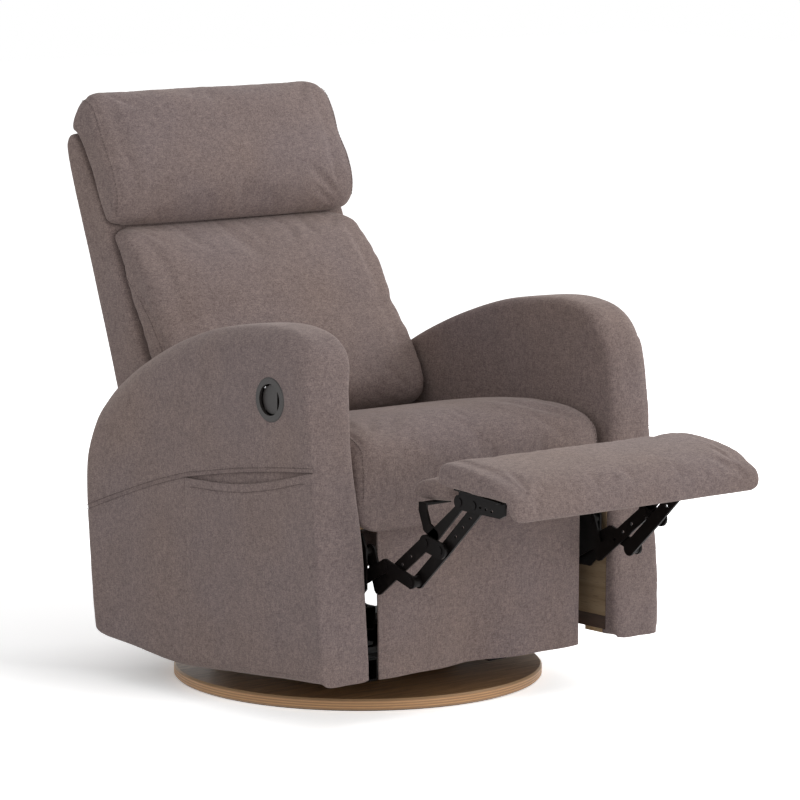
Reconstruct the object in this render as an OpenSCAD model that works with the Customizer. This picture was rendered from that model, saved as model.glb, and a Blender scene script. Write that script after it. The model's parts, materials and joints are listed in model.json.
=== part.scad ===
// Swivel glider recliner, footrest out and back upright.
// Millimetres. Origin on the floor on the swivel axis, +Z up, the chair faces -Y.
// The sitter's right arm, with the release handle and the side pocket, is at -X.

/* [Base] */
// Diameter of the wooden base disc
disc_d = 662; // [560:2:700]
// Thickness of the base disc
disc_t = 20; // [16:1:28]
// Thickness of the non-slip ring under the disc
ring_t = 2; // [1:0.5:4]
// Diameter of the swivel post
post_d = 44; // [36:1:56]
// Gap between the square swivel plates and the rails beside them
plate_gap = 5; // [3:1:15]

/* [Glide] */
// Length of the swing links between pivots
glide_link_l = 85; // [75:1:92]
// Distance between the front and rear swing links
glide_base_l = 260; // [220:2:280]
// Height of the upper glide pivots above the floor
glide_pivot_z = 183; // [178:1:190]

/* [Arms] */
// Overall width over both arms
chair_w = 780; // [760:2:820]
// Thickness of an arm
arm_t = 106; // [96:1:116]
// Length of an arm, front to back
arm_l = 678; // [640:2:700]
// Height of an arm from its lowest point to its crest
arm_h = 620; // [590:2:640]
// How far the outer top edge of an arm rolls down
arm_roll_h = 44; // [30:1:50]
// How far in the outer top edge of an arm rolls
arm_roll_w = 46; // [34:1:50]

/* [Seat] */
// Height of the seat crown above the floor
seat_top_z = 504; // [500:1:514]
// Height of the lower edge of the seat front
seat_front_z = 334; // [330:1:340]
// Rise of the crown across the seat
seat_crown = 9; // [0:1:14]

/* [Back] */
// Gap between the back and each arm
back_gap = 6; // [4:1:14]
// Height of the recline pivot
back_pivot_z = 352; // [346:1:356]
// Crown of the back cushion across its width
back_crown = 16; // [0:1:24]
// Gap between the head pillow and the plane of each arm's inner face
pillow_gap = 3; // [2:1:14]

/* [Footrest] */
// Gap between the footrest and the plane of each arm's inner face
rest_gap = 4; // [3:1:30]
// Depth of the footrest, back to front
rest_l = 210; // [190:1:214]
// Forward slope of the footrest in degrees
rest_tilt = 5; // [3:0.5:6]
// Width of the steel linkage bars
bar_w = 25; // [20:1:26]
// Thickness of the steel linkage bars
bar_t = 4; // [3:0.5:4]
// Gap between the flap behind the footrest and the linkage on each side
flap_gap = 6; // [5:1:40]

/* [Skirt] */
// Gap between the hanging skirt and the linkage on each side
skirt_gap = 7; // [5:1:40]
// Height of the skirt hem above the floor
skirt_hem_z = 74; // [68:1:110]
// Depth of the skirt's folds at the hem
skirt_fold = 9; // [0:1:12]

/* [Release handle] */
// Diameter of the handle bezel
bezel_d = 78; // [70:1:84]
// Width of the pull paddle
paddle_w = 36; // [30:1:36]

/* [Hidden] */

fine = 48;
over = 1;
run_gap = 0.05;
soft_gap = 1;
seat_gap = 0.3;
side_share = 0.97;
fabric = [0.47, 0.42, 0.40];
dark_steel = [0.08, 0.075, 0.075];
pine = [0.72, 0.58, 0.42];
ply = [0.62, 0.46, 0.31];
plastic = [0.10, 0.10, 0.11];

// Across the chair, from the arms inwards
arm_out = chair_w / 2;
arm_in = arm_out - arm_t;
mech_inset = 16;
mech_x = arm_in - mech_inset;
linkage_w = 28;
long_bar_x = mech_x - linkage_w;
glide_rail_inset = 63;
glide_rail_x = mech_x - glide_rail_inset;
rail_w = 40;
upright_t = 6;
glide_gap = 4;
link_t = 6;
hanger_t = 6;
hanger_reach = 9;
rail_x = glide_rail_x - hanger_reach - hanger_t - link_t - 2 * glide_gap - upright_t - rail_w;
plate_w = 2 * (rail_x - plate_gap);
back_w = 2 * (arm_in - back_gap);
pillow_w = 2 * (arm_in - pillow_gap);
rest_w = 2 * (arm_in - rest_gap);
flap_w = 2 * (long_bar_x - flap_gap);
skirt_w = 2 * (long_bar_x - skirt_gap);

// Base stack, from the floor up
ring_w = 18;
ring_inset = 8;
disc_round = 3;
disc_z = ring_t;
disc_top = disc_z + disc_t;
swivel_plate_t = 4;
thrust_t = 12;
thrust_share = 0.76;
thrust_w_share = 0.16;
thrust_d = plate_w * thrust_share;
thrust_w = plate_w * thrust_w_share;
lower_plate_top = disc_top + swivel_plate_t;
upper_plate_z = lower_plate_top + thrust_t;
upper_plate_top = upper_plate_z + swivel_plate_t;
bush_wall = 6;
bush_h = 16;
post_h = swivel_plate_t + thrust_t + bush_h;
plate_bolt_d = 10;
plate_bolt_head_d = 18;
plate_bolt_head_h = 4;
plate_bolt_at = plate_w / 2 - plate_bolt_head_d;

// Turntable frame
rail_h = 40;
rail_wall = 3;
rail_l = 420;
crossbar_share = 0.16;
crossbar_edge_share = 0.02;
crossbar_w = plate_w * crossbar_share;
crossbar_h = 22;
crossbar_y = plate_w * (0.5 - crossbar_edge_share) - crossbar_w / 2;
upright_w = 50;
upright_x = rail_x + rail_w;
glide_pin_d = 12;
link_w = 26;
link_x = upright_x + upright_t + glide_gap;
hanger_x = link_x + link_t + glide_gap;
hanger_w = 44;
pin_head_d = 20;
pin_head_t = 3;
glide_low_z = glide_pivot_z - glide_link_l;

// Glide rails of the chair body
glide_rail_w = 30;
glide_rail_z = 150;
glide_rail_h = 40;
glide_rail_front = -292;
glide_rail_back = 186;
plate_bottom_z = 210;
stub_h = 5;
stub_d = 12;
spacer_d = 18;
rail_bolt_ys = [-120, 20, 160];

// Footrest linkage pivots, in the side view, [y, z]
pivot_b = [-338, 298];
pivot_a = [-277, 225];
pivot_m = [-480, 332];
pivot_s = [-516, 324];
pivot_p = [-450, 262];
pivot_q1 = [-572, 414];
pivot_q2 = [-607, 413];
front_knee = [-360, 239];
rear_knee = [-384, 281];
layer = bar_t + 2;
upper_link_x = long_bar_x + layer;
front_link_x = upper_link_x + layer;
outer_link_x = front_link_x + layer;
mech_t = 4;
pin_d = 8;
boss_d = 14;
rivet_d = 15;
rivet_t = 1.5;
round_spacer_d = 20;
hole_d = 6;
front_hole_shares = [0.34, 0.52, 0.70];
long_hole_shares = [0.3, 0.5, 0.7];
rear_link_w = 23;

// Mechanism side plates
mech_top_z = 330;
mech_front = -346;
mech_back = 215;
mech_flange_in = glide_rail_x;
mech_flange_front = -150;
mech_hole_ys = [-200, -130, 60, 120];
back_pivot_y = 235;
ear_d = 40;
tube_d = 25;
tube_ys = [-60, 180];
tube_z = 285;

// Arms
arm_front = -379;
arm_low_z = 60;
arm_inner_roll = 24;
arm_inner_share = 0.45;
board_t = 6;
board_front = -346;
board_back_inset = 37;
board_back = arm_front + arm_l - board_back_inset;
board_top = 334;
sole_rise = 37;
sole_low_z = arm_low_z + sole_rise;
sole_h = 24;
panel_t = 9;
wall = 14;
arm_core = [0.47, 0.42];

// Handle and pocket
handle_y_share = 0.2124;
handle_y = arm_front + arm_l * handle_y_share;
handle_drop = 122;
handle_z = arm_low_z + arm_h - handle_drop;
bezel_proud = 2.5;
cup_d = 68;
cup_depth = 24;
cup_wall = 2.5;
paddle_t = 3;
paddle_pin_d = 4;
pocket_inset = 35;
pocket_l = 348;
pocket_front = arm_front + pocket_inset;
pocket_back = pocket_front + pocket_l;
pocket_front_drop = 233;
pocket_back_drop = 284;
pocket_front_z = arm_low_z + arm_h - pocket_front_drop;
pocket_back_z = arm_low_z + arm_h - pocket_back_drop;
pocket_low_z = 150;
pocket_sag = 15;
pocket_slot = 11;
pocket_sheet = 3;

// Arm outline, shares of arm_l from the front and of arm_h from the bottom,
// then how much of the outer edge roll's height and of its width each point takes
arm_shares = [[0.004, 0.045, 0.4, 0.4], [0.03, 0.043, 0.4, 0.4], [0.33, 0.020, 0.4, 0.4],
    [0.60, 0.000, 0.4, 0.4], [0.80, 0.016, 0.4, 0.4], [0.945, 0.030, 0.4, 0.4],
    [0.962, 0.075, 0.1, 0.4], [0.978, 0.24, 0.1, 0.5], [0.995, 0.44, 0.15, 0.6],
    [0.999, 0.56, 0.4, 0.9], [0.996, 0.66, 1.3, 1.4], [0.975, 0.718, 2.1, 1.7], [0.92, 0.768, 1.9, 1.7],
    [0.81, 0.836, 1.5, 1.5], [0.66, 0.908, 1.15, 1.2], [0.50, 0.962, 1, 1], [0.36, 0.988, 1, 1],
    [0.265, 0.998, 1, 1], [0.20, 0.995, 1, 1], [0.145, 0.982, 1, 1], [0.104, 0.955, 0.95, 1],
    [0.078, 0.915, 0.8, 1], [0.064, 0.86, 0.55, 0.9], [0.052, 0.75, 0.3, 0.7], [0.040, 0.60, 0.25, 0.6],
    [0.026, 0.40, 0.2, 0.5], [0.012, 0.20, 0.15, 0.4]];

// Seat outline in the side view, [y, z] as drops from the crown
seat_back_y = 118;
seat_front_y = -345;

function lerp(a, b, t) = a + (b - a) * t;
function mid(a, b) = (a + b) / 2;
function unit(v) = v / max(norm(v), 0.001);
function turn(p, a) = [p[0] * cos(a) - p[1] * sin(a), p[0] * sin(a) + p[1] * cos(a)];

// Closed smooth curve through hand-chosen points, n steps between two of them
function spline(a, b, c, d, t) =
    0.5 * ((2 * b) + (c - a) * t + (2 * a - 5 * b + 4 * c - d) * t * t + (3 * b - a - 3 * c + d) * t * t * t);
function smooth(p, n) = [for (i = [0 : len(p) - 1], k = [0 : n - 1])
    spline(p[(i + len(p) - 1) % len(p)], p[i], p[(i + 1) % len(p)], p[(i + 2) % len(p)], k / n)];

// Solid lofted across the chair: each ring is a closed outline of [x, y, z], closed at both ends
// by a fan about core [y, z]. The winding follows the direction in which the outline runs.
function turn_sum(ring) = let (m = len(ring)) [for (j = 0, t = 0; j < m; t = t
    + ring[j][1] * ring[(j + 1) % m][2] - ring[(j + 1) % m][1] * ring[j][2], j = j + 1) t][m - 1];
module loft(rings, core) {
    m = len(rings[0]);
    n = len(rings);
    pts = concat([for (r = rings, p = r) p],
        [[rings[0][0][0], core[0], core[1]], [rings[n - 1][0][0], core[0], core[1]]]);
    walls = [for (i = [0 : n - 2], j = [0 : m - 1], h = [0, 1])
        h == 0 ? [i * m + j, i * m + (j + 1) % m, (i + 1) * m + (j + 1) % m]
               : [i * m + j, (i + 1) * m + (j + 1) % m, (i + 1) * m + j]];
    caps = [for (j = [0 : m - 1], e = [0, 1])
        e == 0 ? [n * m, (j + 1) % m, j] : [n * m + 1, (n - 1) * m + j, (n - 1) * m + (j + 1) % m]];
    faces = concat(walls, caps);
    flip = turn_sum(rings[floor(n / 2)]) > 0;
    polyhedron(points = pts, faces = flip ? [for (f = faces) [f[2], f[1], f[0]]] : faces, convexity = 6);
}
function ring_at(x, outline) = [for (p = outline) [x, p[0], p[1]]];

// Places across a padded piece where its rings lie, and how far each ring is rolled in
roll_steps = 4;
function roll_xs(half, w) = concat(
    [for (i = [0 : roll_steps]) -half + w * (1 - cos(90 * i / roll_steps))],
    [-half * 0.4, 0, half * 0.4],
    [for (i = [roll_steps : -1 : 0]) half - w * (1 - cos(90 * i / roll_steps))]);
function roll_in(x, half, w) = let (t = max(0, abs(x) - (half - w)) / w) 1 - sqrt(max(0, 1 - t * t));

// Padded piece: outline in the middle, crowned by moving points along push, edges rolled to the core
module padded(outline, push, core, half, roll_w, roll_h, crown, steps) {
    xs = roll_xs(half, roll_w);
    rings = [for (x = xs) smooth([for (i = [0 : len(outline) - 1])
        let (p = outline[i], rise = -crown * pow(x / half, 2), k = roll_in(x, half, roll_w))
        p + rise * push[i] * unit(p - core) + roll_h * k * unit(core - p)], steps)];
    loft([for (i = [0 : len(xs) - 1]) ring_at(xs[i], rings[i])], core);
}

module pair() {
    children();
    mirror([1, 0, 0]) children();
}

// Flat steel in the side view: a 2D outline in [y, z], thickened along x
module sheet(x, t) {
    translate([x, 0, 0]) rotate([90, 0, 90]) linear_extrude(t) children();
}

module spot(p, d) {
    translate(p) circle(d = d, $fn = fine);
}

// Straight bar with round ends, its sides a little inside the ends' circles
module strip(a, b, w) {
    spot(a, w);
    spot(b, w);
    side = w * side_share;
    translate(a) rotate(atan2(b[1] - a[1], b[0] - a[0]))
        translate([0, -side / 2]) square([norm(b - a), side]);
}

// Round bar along x at a side-view point
module pin(p, x0, x1, d) {
    translate([x0, p[0], p[1]]) rotate([0, 90, 0]) cylinder(d = d, h = x1 - x0, $fn = fine);
}

module block(x0, x1, y0, y1, z0, z1) {
    translate([x0, y0, z0]) cube([x1 - x0, y1 - y0, z1 - z0]);
}

module floor_ring() {
    color(plastic) rotate_extrude($fn = 96)
        translate([disc_d / 2 - ring_inset - ring_w, 0]) square([ring_w, ring_t]);
}

module base_disc() {
    r = disc_d / 2;
    color(ply) difference() {
        rotate_extrude($fn = 96) polygon([[0, disc_z], [r - disc_round, disc_z], [r, disc_z + disc_round],
            [r, disc_top - disc_round], [r - disc_round, disc_top], [0, disc_top]]);
        for (sx = [-1, 1], sy = [-1, 1]) translate([sx * plate_bolt_at, sy * plate_bolt_at, disc_z - over])
            cylinder(d = plate_bolt_d + 2 * run_gap, h = disc_t + 2 * over, $fn = fine);
    }
}

module swivel_lower_plate() {
    color(dark_steel) {
        difference() {
            translate([-plate_w / 2, -plate_w / 2, disc_top]) cube([plate_w, plate_w, swivel_plate_t]);
            for (sx = [-1, 1], sy = [-1, 1])
                translate([sx * plate_bolt_at, sy * plate_bolt_at, disc_top - over]) cylinder(
                    d = plate_bolt_d + 2 * run_gap, h = swivel_plate_t + 2 * over, $fn = fine);
        }
        translate([0, 0, disc_top]) cylinder(d = post_d, h = post_h, $fn = fine);
    }
}

module swivel_thrust_ring() {
    color("ivory") translate([0, 0, lower_plate_top]) difference() {
        cylinder(d = thrust_d, h = thrust_t - run_gap, $fn = 96);
        translate([0, 0, -over]) cylinder(d = thrust_d - 2 * thrust_w, h = thrust_t + 2 * over, $fn = 96);
    }
}

module swivel_bolts() {
    color("silver") for (sx = [-1, 1], sy = [-1, 1]) translate([sx * plate_bolt_at, sy * plate_bolt_at, 0]) {
        translate([0, 0, disc_z]) cylinder(d = plate_bolt_d, h = disc_t + swivel_plate_t, $fn = fine);
        translate([0, 0, lower_plate_top]) cylinder(d = plate_bolt_head_d, h = plate_bolt_head_h, $fn = fine);
    }
}

module swivel_upper_plate() {
    color(dark_steel) difference() {
        union() {
            translate([-plate_w / 2, -plate_w / 2, upper_plate_z]) cube([plate_w, plate_w, swivel_plate_t]);
            translate([0, 0, upper_plate_z]) cylinder(d = post_d + 2 * bush_wall, h = bush_h, $fn = fine);
        }
        translate([0, 0, upper_plate_z - over])
            cylinder(d = post_d + 2 * run_gap, h = bush_h + 2 * over, $fn = fine);
    }
}

module turntable_rails() {
    color(dark_steel) pair() translate([rail_x, -rail_l / 2, upper_plate_z]) difference() {
        cube([rail_w, rail_l, rail_h]);
        translate([rail_wall, -over, rail_wall])
            cube([rail_w - 2 * rail_wall, rail_l + 2 * over, rail_h - 2 * rail_wall]);
    }
}

module turntable_crossbars() {
    color(dark_steel) for (s = [-1, 1])
        translate([-rail_x, s * crossbar_y - crossbar_w / 2, upper_plate_top])
            cube([2 * rail_x, crossbar_w, crossbar_h]);
}

module glide_uprights() {
    color(dark_steel) pair() for (s = [-1, 1]) difference() {
        sheet(upright_x, upright_t) {
            translate([s * glide_base_l / 2 - upright_w / 2, upper_plate_z])
                square([upright_w, rail_h]);
            strip([s * glide_base_l / 2, upper_plate_z + rail_h], [s * glide_base_l / 2, glide_pivot_z],
                link_w);
        }
        pin([s * glide_base_l / 2, glide_pivot_z], upright_x - over, upright_x + upright_t + over,
            glide_pin_d);
    }
}

module glide_pins(z, x0, x1, head_x) {
    color("silver") pair() for (s = [-1, 1]) {
        pin([s * glide_base_l / 2, z], x0, x1, glide_pin_d);
        pin([s * glide_base_l / 2, z], head_x, head_x + pin_head_t, pin_head_d);
    }
}

module glide_pins_upper() {
    head_x = link_x + link_t + run_gap;
    glide_pins(glide_pivot_z, upright_x, head_x + pin_head_t, head_x);
}

module glide_pins_lower() {
    head_x = link_x - pin_head_t - run_gap;
    glide_pins(glide_low_z, head_x, hanger_x + hanger_t, head_x);
}

module glide_links(s) {
    a = [s * glide_base_l / 2, glide_pivot_z];
    b = [s * glide_base_l / 2, glide_low_z];
    color(dark_steel) pair() difference() {
        sheet(link_x, link_t) strip(a, b, link_w);
        pin(a, link_x - over, link_x + link_t + over, glide_pin_d + 2 * run_gap);
        pin(b, link_x - over, link_x + link_t + over, glide_pin_d + 2 * run_gap);
    }
}

module front_glide_links() {
    glide_links(-1);
}

module rear_glide_links() {
    glide_links(1);
}

module glide_rails() {
    color(dark_steel) pair() difference() {
        block(glide_rail_x, glide_rail_x + glide_rail_w, glide_rail_front, glide_rail_back,
            glide_rail_z, glide_rail_z + glide_rail_h);
        block(glide_rail_x + rail_wall, glide_rail_x + glide_rail_w - rail_wall, glide_rail_front - over,
            glide_rail_back + over, glide_rail_z + rail_wall, glide_rail_z + glide_rail_h - rail_wall);
    }
}

module glide_hangers() {
    top = glide_rail_z + glide_rail_h / 2;
    color(dark_steel) pair() for (s = [-1, 1]) {
        y = s * glide_base_l / 2;
        difference() {
            sheet(hanger_x, hanger_t) {
                translate([y - hanger_w / 2, glide_rail_z - link_w / 2])
                    square([hanger_w, top - glide_rail_z + link_w / 2]);
                strip([y, glide_rail_z], [y, glide_low_z], link_w);
            }
            pin([y, glide_low_z], hanger_x - over, hanger_x + hanger_t + over, glide_pin_d);
        }
        block(hanger_x + hanger_t, glide_rail_x, y - hanger_w / 2, y + hanger_w / 2, glide_rail_z, top);
    }
}

module rail_bolts() {
    x = glide_rail_x + glide_rail_w / 2;
    z = glide_rail_z + glide_rail_h;
    color(dark_steel) pair() {
        for (y = rail_bolt_ys)
            translate([x, y, z]) cylinder(d = spacer_d, h = plate_bottom_z - z, $fn = fine);
        translate([x, glide_rail_front + glide_rail_w / 2, z]) cylinder(d = stub_d, h = stub_h, $fn = fine);
    }
}

module mech_plate() {
    color(dark_steel) {
        difference() {
            sheet(mech_x, mech_t) {
                polygon([[mech_front, plate_bottom_z + bar_w], [mech_front + bar_w, plate_bottom_z],
                    [mech_back, plate_bottom_z], [mech_back, mech_top_z - bar_w],
                    [mech_back + ear_d, mech_top_z], [back_pivot_y + ear_d / 2, back_pivot_z],
                    [back_pivot_y - ear_d / 2, back_pivot_z], [back_pivot_y - ear_d, mech_top_z],
                    [mech_front + bar_w / 2, mech_top_z], [mech_front, mech_top_z - bar_w]]);
                spot([back_pivot_y, back_pivot_z], ear_d);
            }
            pin([back_pivot_y, back_pivot_z], mech_x - over, mech_x + mech_t + over, pin_d + 2 * run_gap);
            pin(pivot_a, mech_x - over, mech_x + mech_t + over, pin_d);
            pin(pivot_b, mech_x - over, mech_x + mech_t + over, pin_d);
            for (y = tube_ys) pin([y, tube_z], mech_x - over, mech_x + mech_t + over, tube_d);
            for (y = mech_hole_ys) pin([y, mid(plate_bottom_z, mech_top_z)], mech_x - over,
                mech_x + mech_t + over, tube_d);
        }
        block(mech_flange_in, mech_x, mech_flange_front, mech_back, plate_bottom_z, plate_bottom_z + mech_t);
    }
}

module mech_plate_left() {
    mech_plate();
}

module mech_plate_right() {
    mirror([1, 0, 0]) mech_plate();
}

module cross_tubes() {
    color(dark_steel) for (y = tube_ys) pin([y, tube_z], -mech_x - mech_t, mech_x + mech_t, tube_d);
}

module base_pin(p, x) {
    pin(p, x - rivet_t, mech_x + mech_t, pin_d);
    pin(p, x - rivet_t, x - run_gap, rivet_d);
    pin(p, x + bar_t + run_gap, mech_x, boss_d);
}

module linkage_base_pins() {
    color(dark_steel) pair() {
        base_pin(pivot_a, outer_link_x);
        base_pin(pivot_b, front_link_x);
    }
}

// Seat frame, deck and cushion
seat_rail_front = -320;
seat_rail_t = 22;
seat_rail_top = 398;
seat_rear_y = 128;
seat_rear_t = 22;
seat_rear_top = 396;
side_rail_inset = 30;
side_rail_x = mech_x - side_rail_inset;
side_rail_w = 34;
front_rail_lift = 4;
seat_half = arm_in - soft_gap;
spring_t = 3.5;
spring_count = 5;
spring_pitch = 26;
spring_swing = 22;
felt_t = 4;
felt_z = seat_rail_top + spring_t;

module seat_front_rail() {
    color(pine) block(-side_rail_x - side_rail_w, side_rail_x + side_rail_w, seat_rail_front,
        seat_rail_front + seat_rail_t, mech_top_z + front_rail_lift, seat_rail_top);
}

module seat_rear_rail() {
    color(pine) block(-side_rail_x - side_rail_w, side_rail_x + side_rail_w, seat_rear_y,
        seat_rear_y + seat_rear_t, mech_top_z, seat_rear_top);
}

module seat_side_rails() {
    color(pine) pair() block(side_rail_x, side_rail_x + side_rail_w, seat_rail_front + seat_rail_t,
        seat_rear_y, mech_top_z, seat_rail_top);
}

// Flat zigzag spring in plan, from y0 to y1 about x = 0
module zigzag(y0, y1, pitch, swing, wire) {
    n = floor((y1 - y0) / pitch);
    step = (y1 - y0) / n;
    line = [for (i = [0 : n]) [(i == 0 || i == n) ? 0 : swing * (i % 2 == 0 ? 1 : -1), y0 + i * step]];
    for (i = [0 : n - 1]) {
        a = line[i];
        b = line[i + 1];
        side = wire * side_share;
        translate(a) rotate(atan2(b[1] - a[1], b[0] - a[0]))
            translate([0, -side / 2]) square([norm(b - a), side]);
        translate(b) circle(d = wire, $fn = 16);
    }
    translate(line[0]) circle(d = wire, $fn = 16);
}

module seat_springs() {
    gap = 2 * side_rail_x / (spring_count + 1);
    color("dimgray") for (i = [1 : spring_count]) translate([-side_rail_x + i * gap, 0, seat_rail_top])
        linear_extrude(spring_t) zigzag(seat_rail_front + seat_rail_t / 2, seat_rear_y + seat_rear_t / 2,
            spring_pitch, spring_swing, spring_t);
}

module seat_felt() {
    color("gray") block(-side_rail_x - side_rail_w, side_rail_x + side_rail_w,
        seat_rail_front + seat_rail_t / 2, seat_rear_y - over, felt_z, felt_z + felt_t);
}

seat_l = seat_back_y - seat_front_y;
seat_edge = 6;
seat_roll_w = 48;
seat_roll_h = 30;
seat_core_share = [0.07, 0.55];
seat_under_shares = [0.98, 0.70, 0.40, 0.10, 0.01];
// Seat outline: share of the seat length from the front, then share of the height from the
// lower front edge to the crown, then how much of the crown each point takes
seat_h = seat_top_z - seat_front_z;
seat_shares = [[0.000, 0.00, 0], [0.004, 0.18, 0], [-0.004, 0.42, 0.2], [0.002, 0.66, 0.4],
    [0.018, 0.82, 0.8], [0.062, 0.93, 1], [0.140, 0.985, 1], [0.24, 1.000, 1], [0.42, 0.955, 1],
    [0.62, 0.860, 1], [0.82, 0.75, 1], [0.955, 0.655, 1], [0.995, 0.58, 0.6], [1.000, 0.47, 0.1]];

module seat_cushion() {
    under = felt_z + felt_t + seat_gap;
    apron = seat_rail_front - soft_gap;
    outline = concat([for (s = seat_shares) [seat_front_y + s[0] * seat_l, seat_front_z + s[1] * seat_h]],
        [for (s = seat_under_shares) [apron + s * (seat_back_y - apron), under - seat_edge]],
        [[apron + seat_edge, under - 2 * seat_edge], [apron + seat_edge, seat_front_z + seat_edge],
        [apron - seat_edge, seat_front_z]]);
    push = [for (i = [0 : len(outline) - 1]) i < len(seat_shares) ? seat_shares[i][2] : 0];
    core = [seat_front_y + seat_core_share[0] * seat_l, seat_front_z + seat_core_share[1] * seat_h];
    color(fabric) difference() {
        padded(outline, push, core, seat_half, seat_roll_w, seat_roll_h, seat_crown, 2);
        block(-arm_in, arm_in, apron, seat_back_y + 2 * seat_edge, seat_front_z - 2 * seat_edge, under);
    }
}

rear_apron_inset = 35;
rear_apron_y = arm_front + arm_l - rear_apron_inset;
rear_apron_t = 12;
rear_apron_low = 128;
rear_apron_top = 342;

module rear_apron() {
    half = arm_in - seat_gap;
    color(fabric) block(-half, half, rear_apron_y, rear_apron_y + rear_apron_t, rear_apron_low,
        rear_apron_top);
}

// Arm: inner face at arm_in, outer face at arm_out, both edges rolled
quarter = 90;
arm_mid = [arm_front + arm_core[0] * arm_l, arm_low_z + arm_core[1] * arm_h];
function arm_pt(s) = [arm_front + s[0] * arm_l, arm_low_z + s[1] * arm_h];
function arm_inset(d) = smooth([for (s = arm_shares) let (p = arm_pt(s)) p + d * unit(arm_mid - p)], 2);
// Ring at angle a of a roll, 0 at the crest and 90 on the face; side is 0 inside and 1 outside
function arm_ring(a, side) = smooth([for (s = arm_shares)
    let (p = arm_pt(s), k = 1 - cos(a), h = side == 1 ? arm_roll_h * s[2] : arm_inner_roll * arm_inner_share,
        w = side == 1 ? arm_roll_w * s[3] : arm_inner_roll, q = p + h * k * unit(arm_mid - p))
    [side == 1 ? arm_out - w * (1 - sin(a)) : arm_in + w * (1 - sin(a)), q[0], q[1]]], 2);
arm_rings = concat([for (i = [roll_steps - 1 : -1 : 0]) arm_ring(quarter * i / (roll_steps - 1), 0)],
    [for (i = [0 : roll_steps]) arm_ring(quarter * i / roll_steps, 1)]);

module arm_pad() {
    cavity_x = arm_in + board_t;
    difference() {
        loft(arm_rings, arm_mid);
        // Room for the wooden arm frame, open below
        intersection() {
            sheet(cavity_x + wall, arm_t - board_t - 2 * wall + panel_t)
                polygon(arm_inset(arm_roll_h + 2 * wall));
            block(arm_in, arm_out, arm_front, arm_front + arm_l, arm_low_z, arm_low_z + arm_h);
        }
        block(cavity_x, arm_out - wall - over, board_front + wall, board_back - wall, arm_low_z - wall,
            board_top - wall);
        block(arm_in - over, cavity_x + over, board_front, board_back, arm_low_z - wall, board_top);
    }
}

module arm_pad_left() {
    color(fabric) arm_pad();
}

// Line of the pocket's opening at y
function pocket_share(y) = (y - pocket_front) / (pocket_back - pocket_front);
function pocket_line(y) = lerp(pocket_front_z, pocket_back_z, pocket_share(y));
function pocket_lip(y) = pocket_line(y) - pocket_sag * sin(180 * pocket_share(y));
pocket_ys = [for (i = [0 : 12]) lerp(pocket_front, pocket_back, i / 12)];

module arm_pad_right() {
    color(fabric) difference() {
        mirror([1, 0, 0]) arm_pad();
        sheet(-arm_out - over, pocket_slot + pocket_sheet + over) polygon(concat(
            [[pocket_back, pocket_low_z], [pocket_front, pocket_low_z]],
            [for (y = pocket_ys) [y, pocket_line(y)]]));
        pin([handle_y, handle_z], -arm_out - over, -arm_out + cup_depth + 2 * cup_wall,
            cup_d + 2 * cup_wall + 2 * seat_gap);
    }
}

module side_pocket() {
    color(fabric) sheet(-arm_out, pocket_sheet) polygon(concat(
        [[pocket_back - soft_gap, pocket_low_z + soft_gap],
            [pocket_front + soft_gap, pocket_low_z + soft_gap]],
        [for (y = pocket_ys)
            [min(max(y, pocket_front + soft_gap), pocket_back - soft_gap), pocket_lip(y) - soft_gap]]));
}

arm_panel_x = arm_out - wall - panel_t - over;
panel_inset = arm_roll_h + 2 * wall + soft_gap;

module arm_panel() {
    color(ply) intersection() {
        sheet(arm_panel_x - wall, panel_t) polygon(arm_inset(panel_inset));
        block(0, arm_out, board_front + wall + over, board_back - wall - over, arm_low_z + wall,
            arm_low_z + arm_h);
    }
}

module arm_panel_left() {
    arm_panel();
}

module arm_panel_right() {
    color(ply) difference() {
        mirror([1, 0, 0]) arm_panel();
        pin([handle_y, handle_z], -arm_out, -arm_panel_x + wall + over, bezel_d);
    }
}

post_w = 44;
post_front_y = board_front + wall + over;
post_back_y = board_back - wall - over - post_w;
post_low_z = arm_low_z + 2 * wall;
post_top_z = board_top - wall - over;

module arm_posts() {
    color(pine) pair() for (y = [post_front_y, post_back_y])
        block(arm_in + board_t, arm_panel_x - wall, y, y + post_w, post_low_z, post_top_z);
}

module arm_inner_boards() {
    color(pine) pair() difference() {
        block(arm_in, arm_in + board_t, board_front + over, board_back - over, sole_low_z + sole_h,
            board_top - over);
        pin([cable_in[1], cable_in[2]], arm_in - over, arm_in + board_t + over, 2 * cable_d);
    }
}

module arm_sole_rails() {
    color([0.16, 0.09, 0.06]) pair() block(arm_in, arm_in + board_t, board_front + over, board_back - over,
        sole_low_z, sole_low_z + sole_h);
}

arm_bolt_d = 8;
arm_bolt_ys = [-180, 100, 200];
arm_bolt_z = 315;

// Bolts and washers between the mechanism plates and the arm boards
module arm_bolts() {
    color("silver") pair() for (y = arm_bolt_ys)
        pin([y, arm_bolt_z], mech_x + mech_t, arm_in, 2 * arm_bolt_d);
}

// Handle: flat flange outside, cup behind it, and two ears that hold the paddle's hinge pin
flange_t = 2.5;
bezel_hole_d = 54;
ear_t = 4;
ear_r = 5;
paddle_hinge_z = 21;
hinge_y = handle_y + bezel_hole_d / 2 - ear_r;
hinge_x = -arm_out + flange_t + ear_r;

module on_hinge(z0, z1, d) {
    translate([hinge_x, hinge_y, handle_z + z0]) cylinder(d = d, h = z1 - z0, $fn = fine);
}

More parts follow.
